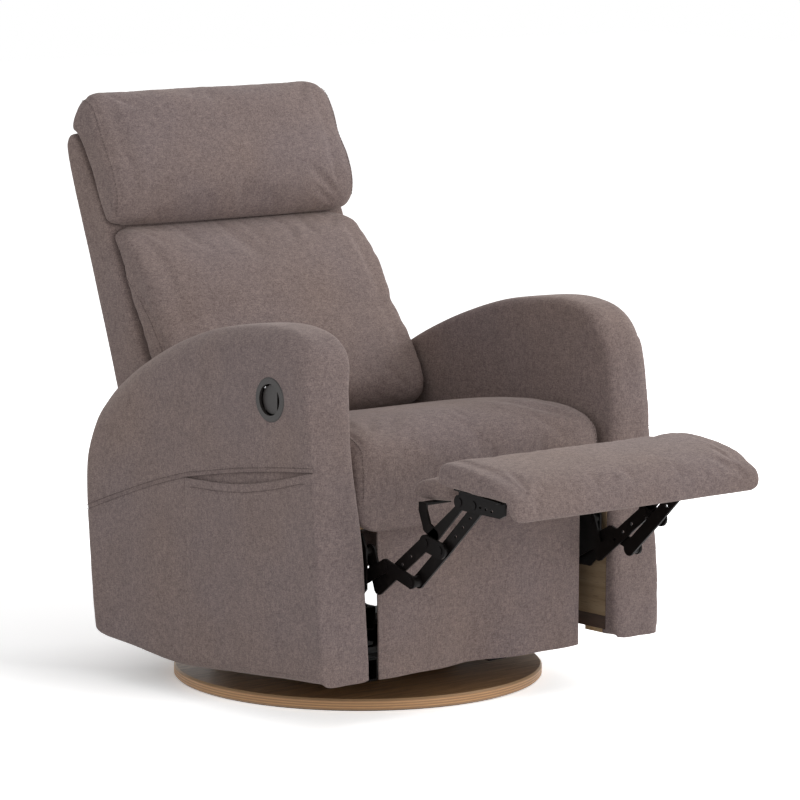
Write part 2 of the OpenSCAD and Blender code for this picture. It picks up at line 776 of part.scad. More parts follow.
module handle_bezel() {
    color(plastic) difference() {
        union() {
            translate([-arm_out, handle_y, handle_z]) rotate([0, -90, 0]) difference() {
                union() {
                    cylinder(d1 = bezel_d, d2 = bezel_d - 2 * bezel_proud, h = bezel_proud, $fn = 64);
                    translate([0, 0, -cup_depth]) cylinder(d = cup_d + 2 * cup_wall, h = cup_depth, $fn = 64);
                }
                translate([0, 0, -cup_depth + cup_wall])
                    cylinder(d = cup_d, h = cup_depth - cup_wall - flange_t, $fn = 64);
                translate([0, 0, -cup_depth + cup_wall])
                    cylinder(d = bezel_hole_d, h = cup_depth + bezel_proud, $fn = 64);
            }
            for (s = [-1, 1]) translate([0, 0, handle_z + s * (paddle_hinge_z + ear_t / 2)])
                block(-arm_out + flange_t - over, hinge_x + ear_r, hinge_y - ear_r, hinge_y + ear_r,
                    -ear_t / 2, ear_t / 2);
        }
        on_hinge(-2 * paddle_hinge_z, 2 * paddle_hinge_z, paddle_pin_d + 2 * run_gap);
    }
}

// Release cable: from the cup down inside the arm and through the inner board to the mechanism
cable_d = 5;
cable_in = [-arm_in, -240, 275];
cable_drop = 28;
cable_y = -232;
cable_x = -arm_panel_x + wall + cable_d;
cable_top = handle_z - cable_drop;
cable_reach = 11;
// Its upper bend, straight run and lower bend, as shares across and down
cable_bend = 18;
cable_low_bend = 47;
cable_bend_shares = [[0.50, 0.00], [0.83, 0.20], [1.00, 0.80]];
cable_run_shares = [0.1, 0.4, 0.7, 1];
cable_low_shares = [[0.05, 0.25], [0.21, 0.72], [0.46, 0.94], [0.75, 1.00], [1.00, 1.00]];
cable_route = concat([[-arm_out + cup_depth + seat_gap, cable_y, cable_top]],
    [for (s = cable_bend_shares) [cable_x - cable_bend * (1 - s[0]), cable_y, cable_top - cable_bend * s[1]]],
    [for (t = cable_run_shares) [cable_x, lerp(cable_y, cable_in[1], t),
        lerp(cable_top - cable_bend, cable_in[2] + cable_low_bend, t)]],
    [for (s = cable_low_shares) [lerp(cable_x, -arm_in, s[0]), cable_in[1],
        cable_in[2] + cable_low_bend * (1 - s[1])]],
    [[cable_reach - arm_in, cable_in[1], cable_in[2]]]);

module tube(route, d, sides) {
    n = len(route);
    dirs = [for (i = [0 : n - 1]) unit(route[min(i + 1, n - 1)] - route[max(i - 1, 0)])];
    pts = [for (i = [0 : n - 1], k = [0 : sides - 1])
        let (u = unit(cross(dirs[i], [0, 1, 0])), v = cross(dirs[i], u))
        route[i] + d / 2 * (cos(360 * k / sides) * u + sin(360 * k / sides) * v)];
    walls = [for (i = [0 : n - 2], k = [0 : sides - 1])
        [i * sides + k, i * sides + (k + 1) % sides, (i + 1) * sides + (k + 1) % sides, (i + 1) * sides + k]];
    polyhedron(points = pts, faces = concat(walls, [[for (k = [sides - 1 : -1 : 0]) k]],
        [[for (k = [0 : sides - 1]) (n - 1) * sides + k]]), convexity = 8);
}

module release_cable() {
    color("black") tube(cable_route, cable_d, 8);
}

paddle_x = hinge_x - paddle_pin_d;
paddle_d = bezel_hole_d - ear_r;

module release_paddle() {
    color(plastic) {
        intersection() {
            pin([handle_y, handle_z], paddle_x, paddle_x + paddle_t, paddle_d);
            block(paddle_x - over, paddle_x + paddle_t + over, hinge_y - paddle_w, hinge_y + ear_r,
                handle_z - paddle_d, handle_z + paddle_d);
        }
        on_hinge(-paddle_hinge_z - ear_t, paddle_hinge_z + ear_t, paddle_pin_d);
    }
}

module paddle_spring() {
    color("silver") difference() {
        on_hinge(paddle_hinge_z - ear_t + seat_gap, paddle_hinge_z - run_gap, 2 * paddle_pin_d);
        on_hinge(0, paddle_hinge_z + over, paddle_pin_d + 2 * seat_gap);
    }
}

// Skirt: one cloth with shallow folds that grow towards the hem
skirt_t = 3;
skirt_y = seat_rail_front - soft_gap - seat_edge - skirt_t;
skirt_top_z = seat_front_z - soft_gap;
skirt_cols = 24;
skirt_rows = 6;
function skirt_wave(s) = sin(360 * 1.5 * s + 20) + 0.45 * sin(360 * 3.2 * s + 70);
function skirt_at(i, j, back) = let (s = i / skirt_cols, t = j / skirt_rows)
    [(s - 0.5) * skirt_w, skirt_y + back * skirt_t - skirt_fold * pow(t, 1.3) * skirt_wave(s),
        lerp(skirt_top_z, skirt_hem_z, t)];

module skirt() {
    c = skirt_cols + 1;
    n = c * (skirt_rows + 1);
    pts = [for (b = [0, 1], j = [0 : skirt_rows], i = [0 : skirt_cols]) skirt_at(i, j, b)];
    cells = [for (j = [0 : skirt_rows - 1], i = [0 : skirt_cols - 1]) j * c + i];
    front = [for (q = cells, h = [0, 1]) h == 0 ? [q, q + 1, q + c + 1] : [q, q + c + 1, q + c]];
    rear = [for (f = front) [f[0] + n, f[2] + n, f[1] + n]];
    rim = concat([for (i = [0 : skirt_cols - 1]) i], [for (j = [0 : skirt_rows - 1]) j * c + skirt_cols],
        [for (i = [skirt_cols : -1 : 1]) skirt_rows * c + i], [for (j = [skirt_rows : -1 : 1]) j * c]);
    m = len(rim);
    edge = [for (k = [0 : m - 1], h = [0, 1]) let (a = rim[k], b = rim[(k + 1) % m])
        h == 0 ? [a, n + b, b] : [a, n + a, n + b]];
    color(fabric) polyhedron(points = pts, faces = concat(front, rear, edge), convexity = 8);
}

// Footrest linkage. From the inside out: long bars, upper links, front links, then rear links
// and footrest brackets. Pivots P and Q1 are left open, their layers only lie against each other.
module link_hole(p, x) {
    pin(p, x - over, x + bar_t + over, pin_d + 2 * run_gap);
}

// Bar with round ends that tapers from a to b
module taper(a, b, wa, wb) {
    n = unit([a[1] - b[1], b[0] - a[0]]) / 2 * side_share;
    spot(a, wa);
    spot(b, wb);
    polygon([a + wa * n, b + wb * n, b - wb * n, a - wa * n]);
}

module front_ottoman_links() {
    x = front_link_x;
    color(dark_steel) pair() {
        difference() {
            sheet(x, bar_t) {
                strip(pivot_b, front_knee, bar_w);
                strip(front_knee, pivot_m, bar_w);
                strip(pivot_m, pivot_s, bar_w + bar_t);
            }
            link_hole(pivot_b, x);
            link_hole(pivot_s, x);
            for (t = front_hole_shares) pin(lerp(front_knee, pivot_m, t), x - over, x + bar_t + over, hole_d);
        }
        pin(pivot_m, upper_link_x - rivet_t, x + bar_t, pin_d);
        pin(pivot_m, upper_link_x - rivet_t, upper_link_x - run_gap, rivet_d);
        pin(pivot_m, x + bar_t - over, x + bar_t + rivet_t, rivet_d);
        pin(front_knee, x + bar_t - over, x + bar_t + rivet_t, rivet_d);
    }
}

module rear_ottoman_links() {
    x = outer_link_x;
    color(dark_steel) pair() {
        difference() {
            sheet(x, bar_t) {
                strip(pivot_a, rear_knee, rear_link_w);
                strip(rear_knee, pivot_p, rear_link_w);
            }
            link_hole(pivot_a, x);
        }
        pin(pivot_p, x + bar_t - over, x + bar_t + rivet_t, rivet_d);
        pin(rear_knee, x + bar_t - over, x + bar_t + rivet_t, rivet_d);
    }
}

module long_bars() {
    x = long_bar_x;
    color(dark_steel) pair() {
        difference() {
            sheet(x, bar_t) {
                strip(pivot_p, pivot_s, bar_w);
                strip(pivot_s, pivot_q2, bar_w);
            }
            link_hole(pivot_q2, x);
            for (t = long_hole_shares) pin(lerp(pivot_s, pivot_q2, t), x - over, x + bar_t + over, hole_d);
        }
        pin(pivot_s, x + bar_t - over, front_link_x + bar_t + rivet_t, pin_d);
        pin(pivot_s, x + bar_t - over, front_link_x - run_gap, round_spacer_d);
        pin(pivot_s, front_link_x + bar_t + run_gap, front_link_x + bar_t + rivet_t, rivet_d);
        pin(pivot_p, x + bar_t - over, outer_link_x - seat_gap, round_spacer_d);
    }
}

module upper_links() {
    x = upper_link_x;
    color(dark_steel) pair() difference() {
        sheet(x, bar_t) taper(pivot_m, pivot_q1, bar_w, bar_w / 2);
        link_hole(pivot_m, x);
    }
}

// Flap behind the footrest: outline in the side view as shares of its depth and height
flap_back = -418;
flap_l = 104;
flap_low_z = 399;
flap_h = 42;
flap_shares = [[0.02, 0.16, 0], [0.00, 0.36, 0.2], [0.06, 0.62, 0.6], [0.26, 0.84, 1], [0.62, 0.98, 1],
    [0.92, 1.00, 0.8], [1.00, 0.82, 0.4], [0.99, 0.30, 0], [0.90, 0.12, 0], [0.60, 0.04, 0], [0.20, 0.00, 0]];
flap_roll_w = 14;
flap_roll_h = 9;
flap_crown = 3;
strap_w = 20;
strap_root = [-497, 347];
strap_foot = [-477, 358];
strap_head = [-466, 386];
strap_in = 40;

module flap_pad() {
    outline = [for (s = flap_shares) [flap_back - s[0] * flap_l, flap_low_z + s[1] * flap_h]];
    push = [for (s = flap_shares) s[2]];
    core = [flap_back - flap_l / 2, flap_low_z + flap_h / 2];
    color(fabric) padded(outline, push, core, flap_w / 2, flap_roll_w, flap_roll_h, flap_crown, 2);
}

module flap_straps() {
    x = upper_link_x;
    top = flap_low_z - soft_gap / 2;
    color(dark_steel) pair() {
        sheet(x, bar_t) {
            strip(strap_root, strap_foot, strap_w);
            strip(strap_foot, strap_head, strap_w);
            side = strap_w * side_share;
            translate([strap_head[0] - side / 2, strap_head[1]]) square([side, top - strap_head[1]]);
        }
        block(flap_w / 2 - strap_in, x + bar_t / 2, strap_head[0] - strap_w / 2 + over,
            strap_head[0] + strap_w / 2 - over, top - bar_t, top - seat_gap);
    }
}

// Footrest, built flat at its rear lower edge and tilted about it
rest_origin = [-530, 442];
rest_board_t = 12;
rest_board_inset = 16;
rest_board_share = 0.8;
rest_bracket_l = 116;
rest_bracket_w = 30;
rest_flange_t = 3;
rest_h = 40;
rest_lip = 26;
rest_roll_w = 20;
rest_roll_h = 13;
rest_crown = 6;
rest_core_shares = [0.82, 0.30];
rest_bracket_u = 42;
rest_screw_inset = 12;
rest_screw_h = 1;
rest_hole_count = 3;
rest_hole_first = [-4, 1];
rest_hole_step = [-14, -1.5];
rest_shares = [[0.00, 0.06, 0], [-0.012, 0.42, 0.3], [0.00, 0.80, 0.7], [0.06, 0.96, 1], [0.22, 1.02, 1],
    [0.45, 1.02, 1], [0.68, 0.92, 1], [0.86, 0.66, 1], [0.97, 0.25, 0.8], [1.005, -0.30, 0.5],
    [0.985, -0.86, 0.2], [0.94, -1.00, 0], [0.90, -0.72, 0], [0.87, -0.10, 0],
    [0.82, 0.00, 0], [0.45, 0.00, 0], [0.04, 0.00, 0]];

function rest_pt(u, v) = rest_origin + turn([-u, v], rest_tilt);

module footrest_pad() {
    outline = [for (s = rest_shares) rest_pt(s[0] * rest_l, s[1] * (s[1] > 0 ? rest_h : rest_lip))];
    push = [for (s = rest_shares) s[2]];
    core = rest_pt(rest_core_shares[0] * rest_l, rest_core_shares[1] * rest_h);
    color(fabric) difference() {
        padded(outline, push, core, rest_w / 2, rest_roll_w, rest_roll_h, rest_crown, 2);
        footrest_board_space();
    }
}

// Space for the board, open below
module footrest_board_space() {
    sheet(-rest_w / 2 + rest_board_inset, rest_w - 2 * rest_board_inset)
        polygon([rest_pt(rest_board_inset, -over), rest_pt(rest_l * rest_board_share, -over),
            rest_pt(rest_l * rest_board_share, rest_board_t), rest_pt(rest_board_inset, rest_board_t)]);
}

module footrest_board() {
    x = rest_w / 2 - rest_board_inset - soft_gap / 2;
    u0 = rest_board_inset + soft_gap / 2;
    u1 = rest_l * rest_board_share - soft_gap / 2;
    top = rest_board_t - soft_gap / 2;
    color(ply) sheet(-x, 2 * x)
        polygon([rest_pt(u0, 0), rest_pt(u1, 0), rest_pt(u1, top), rest_pt(u0, top)]);
}

module footrest_brackets() {
    x = outer_link_x;
    u0 = rest_bracket_u;
    u1 = u0 + rest_bracket_l;
    low = [0, bar_w / 2];
    color(dark_steel) pair() {
        difference() {
            union() {
                sheet(x, bar_t) polygon([rest_pt(u0, -seat_gap), rest_pt(u1, -seat_gap),
                    rest_pt(u1, -rest_bracket_w * 0.75), rest_pt(u1 - bar_w / 2, -rest_bracket_w),
                    pivot_q2 - low, pivot_q1 - low, rest_pt(u0, -bar_w)]);
                sheet(x, bar_t) strip(pivot_q1, pivot_q2, bar_w);
                sheet(x, rest_bracket_w / 2) polygon([rest_pt(u0, -seat_gap), rest_pt(u1, -seat_gap),
                    rest_pt(u1, -rest_flange_t), rest_pt(u0, -rest_flange_t)]);
            }
            for (k = [1 : rest_hole_count]) pin(pivot_q2 + rest_hole_first + k * rest_hole_step, x - over,
                x + bar_t + over, hole_d);
        }
        pin(pivot_q1, front_link_x + bar_t + seat_gap, x + over, boss_d);
        pin(pivot_q1, x + bar_t - over, x + bar_t + rivet_t, rivet_d);
        pin(pivot_q2, long_bar_x - rivet_t, x + over, pin_d);
        pin(pivot_q2, long_bar_x - rivet_t, long_bar_x - run_gap, rivet_d);
        pin(pivot_q2, front_link_x, x + over, boss_d);
        pin(pivot_q2, x + bar_t - over, x + bar_t + rivet_t, rivet_d);
    }
}

module footrest_screws() {
    x = mid(outer_link_x + bar_t, outer_link_x + rest_bracket_w / 2);
    us = [rest_bracket_u + rest_screw_inset, rest_bracket_u + rest_bracket_l - rest_screw_inset];
    color("silver") pair() for (u = us) translate([x, rest_pt(u, 0)[0], rest_pt(u, 0)[1]])
        rotate([rest_tilt, 0, 0]) translate([0, 0, -rest_flange_t - rest_screw_h])
            cylinder(d = hole_d, h = rest_screw_h, $fn = fine);
}

// Back: everything here turns about the recline pivot
back_bracket_inset = 16;
back_bracket_x = mech_x - back_bracket_inset;
back_bracket_t = 5;
back_foot = [176, 388];
bolt_head_h = 4;
back_post_w = 40;
back_post_t = 24;
// Outer back outline [y, z]: shares of the shell's reach and rise from its lower front corner
shell_reach = 330;
shell_rise = 566;
shell_shares = [[0.02, 0.00, 0], [0.22, -0.008, 0], [0.40, 0.005, 0], [0.445, 0.06, 0], [0.53, 0.196, 0],
    [0.636, 0.368, 0], [0.755, 0.571, 0], [0.918, 0.820, 0], [0.982, 0.936, 0.4], [0.984, 0.978, 0.8],
    [0.95, 1.000, 1], [0.895, 0.985, 0.8], [0.77, 0.870, 0], [0.615, 0.712, 0], [0.436, 0.491, 0],
    [0.285, 0.314, 0], [0.118, 0.122, 0]];
shell_wall = 12;
shell_core_shares = [0.50, 0.44];

function back_pt(s) = back_foot + [s[0] * shell_reach, s[1] * shell_rise];
shell_core = back_pt(shell_core_shares);
// Middle line of the shell, from its foot to its top
function spine(t) = lerp(back_pt([0.22, 0.02]), back_pt([0.86, 0.88]), t);
spine_dir = unit(spine(1) - spine(0));
spine_side = [spine_dir[1], -spine_dir[0]];

module slab(x0, x1, t0, t1, s0, s1) {
    sheet(x0, x1 - x0) polygon([spine(t0) + s0 * spine_side, spine(t0) + s1 * spine_side,
        spine(t1) + s1 * spine_side, spine(t1) + s0 * spine_side]);
}

module back_shell() {
    outline = [for (s = shell_shares) back_pt(s)];
    color(fabric) difference() {
        loft([for (e = [[-1, 0, 1], [-1, 1, 0], [1, 1, 0], [1, 0, 1]])
            ring_at(e[0] * (back_w / 2 - e[1] * seat_edge),
                smooth([for (p = outline) p + e[2] * seat_edge * unit(shell_core - p)], 2))], shell_core);
        pair() sheet(back_bracket_x - seat_gap, back_bracket_t + 2 * seat_gap)
            strip([back_pivot_y, back_pivot_z], spine(0), back_post_t);
        slab(-back_w / 2 + shell_wall, back_w / 2 - shell_wall, -0.16, 0.94, -back_post_t / 2 - seat_gap,
            back_post_t / 2 + seat_gap);
    }
}

module back_posts() {
    color(pine) pair() slab(back_bracket_x - back_post_w, back_bracket_x, 0.03, 0.93, -back_post_t / 2,
        back_post_t / 2);
}

module back_rails() {
    x = back_bracket_x - back_post_w;
    color(pine) for (t = [0.05, 0.52, 0.85]) slab(-x, x, t, t + 0.08, -back_post_t / 2, back_post_t / 2);
}

module back_springs() {
    x = back_bracket_x - back_post_w;
    low = norm(spine(1) - spine(0)) * 0.13 + spring_t / 2;
    high = norm(spine(1) - spine(0)) * 0.52 - spring_t / 2;
    color("dimgray") for (i = [1 : 4]) translate([-x + i * 2 * x / 5, spine(0)[0], spine(0)[1]])
        rotate([atan2(spine_dir[1], spine_dir[0]), 0, 0]) translate([0, 0, -spring_t / 2])
            linear_extrude(spring_t) zigzag(low, high, spring_pitch, spring_swing, spring_t);
}

module back_brackets() {
    foot = [back_pivot_y, back_pivot_z];
    color(dark_steel) pair() difference() {
        sheet(back_bracket_x, back_bracket_t) {
            strip(foot, spine(0), back_post_t - over);
            strip(spine(0), spine(0.3), back_post_t - over);
        }
        pin(foot, back_bracket_x - over, back_bracket_x + back_bracket_t + over, pin_d + 2 * run_gap);
    }
}

module back_pivot_bolts() {
    foot = [back_pivot_y, back_pivot_z];
    head = back_bracket_x - bolt_head_h;
    color("silver") pair() {
        pin(foot, head, mech_x + mech_t, pin_d);
        pin(foot, head, back_bracket_x - run_gap, rivet_d);
        pin(foot, back_bracket_x + back_bracket_t + run_gap, mech_x - run_gap, boss_d);
    }
}

// Back cushion: shares of the same reach and rise
cushion_shares = [[-0.155, 0.128, 0.6], [-0.175, 0.165, 1], [-0.125, 0.230, 1], [-0.035, 0.325, 1],
    [0.075, 0.430, 1], [0.175, 0.525, 1], [0.300, 0.615, 1], [0.425, 0.680, 0.7], [0.500, 0.704, 0.2],
    [0.560, 0.704, 0],
    [0.600, 0.696, 0], [0.428, 0.491, 0], [0.277, 0.316, 0], [0.110, 0.124, 0], [0.02, 0.096, 0],
    [-0.08, 0.102, 0.2]];

cushion_core_shares = [0.19, 0.43];
cushion_inset = 6;
cushion_roll_w = 30;
cushion_roll_h = 18;

module back_cushion() {
    outline = [for (s = cushion_shares) back_pt(s) - [seat_gap, 0]];
    push = [for (s = cushion_shares) s[2]];
    color(fabric) padded(outline, push, back_pt(cushion_core_shares), back_w / 2 - cushion_inset,
        cushion_roll_w, cushion_roll_h, back_crown, 2);
}

// Head pillow outline [y, z]
pillow_shares = [[0.612, 0.724, 0], [0.585, 0.712, 0.3], [0.520, 0.735, 1], [0.500, 0.800, 1],
    [0.540, 0.890, 1],
    [0.620, 0.985, 1], [0.700, 1.070, 1], [0.775, 1.130, 0.8], [0.850, 1.140, 0.5], [0.920, 1.110, 0.3],
    [0.955, 1.055, 0.1], [0.945, 1.018, 0], [0.885, 1.002, 0], [0.748, 0.875, 0], [0.676, 0.790, 0]];

pillow_core_shares = [0.70, 0.95];
pillow_roll_w = 34;
pillow_roll_h = 16;
pillow_crown = 8;

module head_pillow() {
    outline = [for (s = pillow_shares) back_pt(s) - [seat_gap, 0]];
    push = [for (s = pillow_shares) s[2]];
    color(fabric) padded(outline, push, back_pt(pillow_core_shares), pillow_w / 2, pillow_roll_w,
        pillow_roll_h, pillow_crown, 2);
}

floor_ring();
base_disc();
swivel_lower_plate();
swivel_thrust_ring();
swivel_bolts();
swivel_upper_plate();
turntable_rails();
turntable_crossbars();
glide_uprights();
glide_pins_upper();
front_glide_links();
rear_glide_links();
glide_rails();
glide_hangers();
glide_pins_lower();
rail_bolts();
mech_plate_left();
mech_plate_right();
cross_tubes();
linkage_base_pins();
seat_front_rail();
seat_rear_rail();
seat_side_rails();
seat_springs();
seat_felt();
seat_cushion();
rear_apron();
arm_pad_left();
arm_pad_right();
arm_panel_left();
arm_panel_right();
arm_posts();
arm_inner_boards();
arm_sole_rails();
arm_bolts();
side_pocket();
handle_bezel();
release_cable();
skirt();
front_ottoman_links();
rear_ottoman_links();
long_bars();
upper_links();
flap_straps();
flap_pad();
footrest_brackets();
footrest_board();
footrest_pad();
footrest_screws();
release_paddle();
paddle_spring();
back_brackets();
back_pivot_bolts();
back_posts();
back_rails();
back_springs();
back_shell();
back_cushion();
head_pillow();
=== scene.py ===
import json
import math

import bmesh
import bpy
import numpy as np
from mathutils import Matrix, Vector, kdtree, noise
from mathutils.bvhtree import BVHTree


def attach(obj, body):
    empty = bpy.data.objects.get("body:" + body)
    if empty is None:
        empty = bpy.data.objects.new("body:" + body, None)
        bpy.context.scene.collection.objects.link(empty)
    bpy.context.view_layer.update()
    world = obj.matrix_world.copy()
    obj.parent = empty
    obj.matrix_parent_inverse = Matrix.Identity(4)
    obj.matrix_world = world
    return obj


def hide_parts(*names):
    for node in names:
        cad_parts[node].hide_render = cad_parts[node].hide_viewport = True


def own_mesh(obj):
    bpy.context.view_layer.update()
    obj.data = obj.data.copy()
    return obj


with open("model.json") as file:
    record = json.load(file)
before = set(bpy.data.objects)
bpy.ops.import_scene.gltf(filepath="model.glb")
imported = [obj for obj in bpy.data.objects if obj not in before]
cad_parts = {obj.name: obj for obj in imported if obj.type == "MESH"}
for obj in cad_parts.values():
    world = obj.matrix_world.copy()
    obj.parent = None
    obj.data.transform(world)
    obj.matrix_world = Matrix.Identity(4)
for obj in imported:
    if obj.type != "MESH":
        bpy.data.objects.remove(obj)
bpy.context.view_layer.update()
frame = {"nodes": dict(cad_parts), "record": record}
nodes = frame["nodes"]
scene = bpy.context.scene

# Swivel glider recliner, metres, in the frame's own axes: -Y is the front, -X the handle side.

# The photo's own camera: its place, its turns in degrees and its lens in mm
camera = {"place": (-4.86545, -5.82996, 1.59719), "yaw": 40.4016, "pitch": 8.2513, "roll": 0.264,
          "lens": 193.5, "farthest": 60}


def setCamera():
    yaw, pitch, roll = (math.radians(camera[k]) for k in ("yaw", "pitch", "roll"))
    ahead = Vector((math.sin(yaw) * math.cos(pitch), math.cos(yaw) * math.cos(pitch), -math.sin(pitch)))
    side = Vector((math.cos(yaw), -math.sin(yaw), 0))
    up = side.cross(ahead)
    right = side * math.cos(roll) + up * math.sin(roll)
    top = up * math.cos(roll) - side * math.sin(roll)
    eye = bpy.data.objects.new("camera", bpy.data.cameras.new("camera"))
    eye.data.lens = camera["lens"]
    eye.data.clip_end = camera["farthest"]
    turned = Matrix((right, top, -ahead)).transposed().to_4x4()
    eye.matrix_world = Matrix.Translation(camera["place"]) @ turned
    scene.collection.objects.link(eye)
    scene.camera = eye


setCamera()
print("camera set")


# Small helpers

def lerp(a, b, t):
    return a + (b - a) * t


def bend(a, b, c, d, t):
    # Catmull-Rom: the place between b and c, a share t of the way
    return 0.5 * (2 * b + (c - a) * t + (2 * a - 5 * b + 4 * c - d) * t ** 2
                  + (3 * b - a - 3 * c + d) * t ** 3)


def smoothLoop(points, steps):
    # closed curve through the points, the same curve as the solids use
    p = np.array(points, float)
    a, b, c, d = np.roll(p, 1, 0), p, np.roll(p, -1, 0), np.roll(p, -2, 0)
    rows = [bend(a, b, c, d, k / steps) for k in range(steps)]
    return np.stack(rows, 1).reshape(-1, p.shape[1])


def newPiece(name, verts, faces):
    mesh = bpy.data.meshes.new(name)
    mesh.from_pydata([tuple(v) for v in verts], [], faces)
    mesh.update()
    piece = bpy.data.objects.new(name, mesh)
    scene.collection.objects.link(piece)
    return piece


def pointsOf(piece):
    co = np.empty(len(piece.data.vertices) * 3)
    piece.data.vertices.foreach_get("co", co)
    return co.reshape(-1, 3)


def normalsOf(piece):
    no = np.empty(len(piece.data.vertices) * 3)
    piece.data.vertices.foreach_get("normal", no)
    return no.reshape(-1, 3)


def setPoints(piece, co):
    piece.data.vertices.foreach_set("co", np.asarray(co, float).ravel())
    piece.data.update()


def bake(piece):
    # the modifiers' result becomes the piece's own mesh
    bpy.context.view_layer.update()
    seen = piece.evaluated_get(bpy.context.evaluated_depsgraph_get())
    mesh = bpy.data.meshes.new_from_object(seen)
    piece.modifiers.clear()
    old = piece.data
    piece.data = mesh
    bpy.data.meshes.remove(old)
    return piece


def shadeSoft(piece, angle=45):
    piece.data.shade_smooth()
    piece.data.set_sharp_from_angle(angle=math.radians(angle))
    return piece


def faceOut(piece):
    sheet = bmesh.new()
    sheet.from_mesh(piece.data)
    bmesh.ops.recalc_face_normals(sheet, faces=sheet.faces)
    sheet.to_mesh(piece.data)
    sheet.free()


def copyOf(node, name):
    mesh = nodes[node].data.copy()
    mesh.transform(nodes[node].matrix_world)
    mesh.materials.clear()
    piece = bpy.data.objects.new(name, mesh)
    scene.collection.objects.link(piece)
    merged = bmesh.new()
    merged.from_mesh(mesh)
    bmesh.ops.remove_doubles(merged, verts=merged.verts, dist=1e-5)
    merged.to_mesh(mesh)
    merged.free()
    return piece


def wavy(co, scale, seed):
    # smooth noise from -1 to 1 at every point
    shift = Vector((seed * 3.7, seed * 1.3, seed * 7.1))
    return np.array([noise.noise(Vector(p) * scale + shift) for p in co])


def finish(piece, material, body, slot, *replaced):
    piece.data.materials.clear()
    piece.data.materials.append(material)
    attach(piece, body)
    if replaced:
        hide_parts(*replaced)
    return piece


# Finishes

class Wire:
    # one socket of a material's nodes, with arithmetic on it
    def __init__(self, tree, socket):
        self.tree, self.socket = tree, socket

    def does(self, operation, *values):
        node = self.tree.nodes.new("ShaderNodeMath")
        node.operation = operation
        for place, value in enumerate(values):
            plug(self.tree, value, node.inputs[place])
        return Wire(self.tree, node.outputs[0])

    def __add__(self, other):
        return self.does("ADD", self, other)

    __radd__ = __add__

    def __sub__(self, other):
        return self.does("SUBTRACT", self, other)

    def __rsub__(self, other):
        return self.does("SUBTRACT", other, self)

    def __mul__(self, other):
        return self.does("MULTIPLY", self, other)

    __rmul__ = __mul__

    def __truediv__(self, other):
        return self.does("DIVIDE", self, other)

    def size(self):
        return self.does("ABSOLUTE", self)

    def above(self, edge):
        return self.does("GREATER_THAN", self, edge)

    def kept(self, low=0.0, high=1.0):
        return self.does("MAXIMUM", self.does("MINIMUM", self, high), low)


def plug(tree, value, socket):
    if isinstance(value, Wire):
        tree.links.new(value.socket, socket)
    elif isinstance(value, (tuple, list)) and len(value) == 3 and len(socket.default_value) == 4:
        socket.default_value = (*value, 1)
    else:
        socket.default_value = value


class Finish:
    # a material under construction
    def __init__(self, name):
        self.material = bpy.data.materials.new(name)
        self.material.use_nodes = True
        self.tree = self.material.node_tree
        self.surface = self.tree.nodes["Principled BSDF"]

    def node(self, kind, inputs=(), out=0, **settings):
        made = self.tree.nodes.new(kind)
        for key, value in settings.items():
            setattr(made, key, value)
        for key, value in dict(inputs).items():
            plug(self.tree, value, made.inputs[key])
        return Wire(self.tree, made.outputs[out])

    def places(self):
        return self.node("ShaderNodeTexCoord", out="Object")

    def scaled(self, vector, scale):
        return self.node("ShaderNodeMapping", {"Vector": vector, "Scale": scale})

    def noisy(self, vector, scale, detail=2.0, rough=0.5, twist=0.0):
        return self.node("ShaderNodeTexNoise", {"Vector": vector, "Scale": scale, "Detail": detail,
                                                "Roughness": rough, "Distortion": twist})

    def mixed(self, share, one, two, blend="MIX"):
        return self.node("ShaderNodeMix", {0: share, 6: one, 7: two}, out=2, data_type="RGBA",
                         blend_type=blend)

    def bumped(self, height, depth, strength=1.0, over=None):
        inputs = {"Height": height, "Distance": depth, "Strength": strength}
        if over is not None:
            inputs["Normal"] = over
        return self.node("ShaderNodeBump", inputs)

    def done(self, **sockets):
        for name, value in sockets.items():
            plug(self.tree, value, self.surface.inputs[name.replace("_", " ")])
        return self.material


def toned(colour, share):
    return tuple(share * c for c in colour)


# Heathered upholstery cloth: its yarn colours, the worn patches, how fine its threads and slubs are,
# and how deep they stand
cloth = {"base": (0.234, 0.179, 0.168), "dark": (0.110, 0.079, 0.080), "light": (0.392, 0.308, 0.280),
         "warm": (0.254, 0.180, 0.146), "cool": (0.202, 0.163, 0.171), "worn": (0.86, 0.86, 0.87),
         "threads": 430, "slubs": 135, "patches": 24.0, "clouds": 4.2,
         "weft": (90, 90, 760), "warp": (760, 760, 90), "grain": 0.0006, "slubHeight": 0.0009,
         "sheen": (0.75, 0.66, 0.61)}


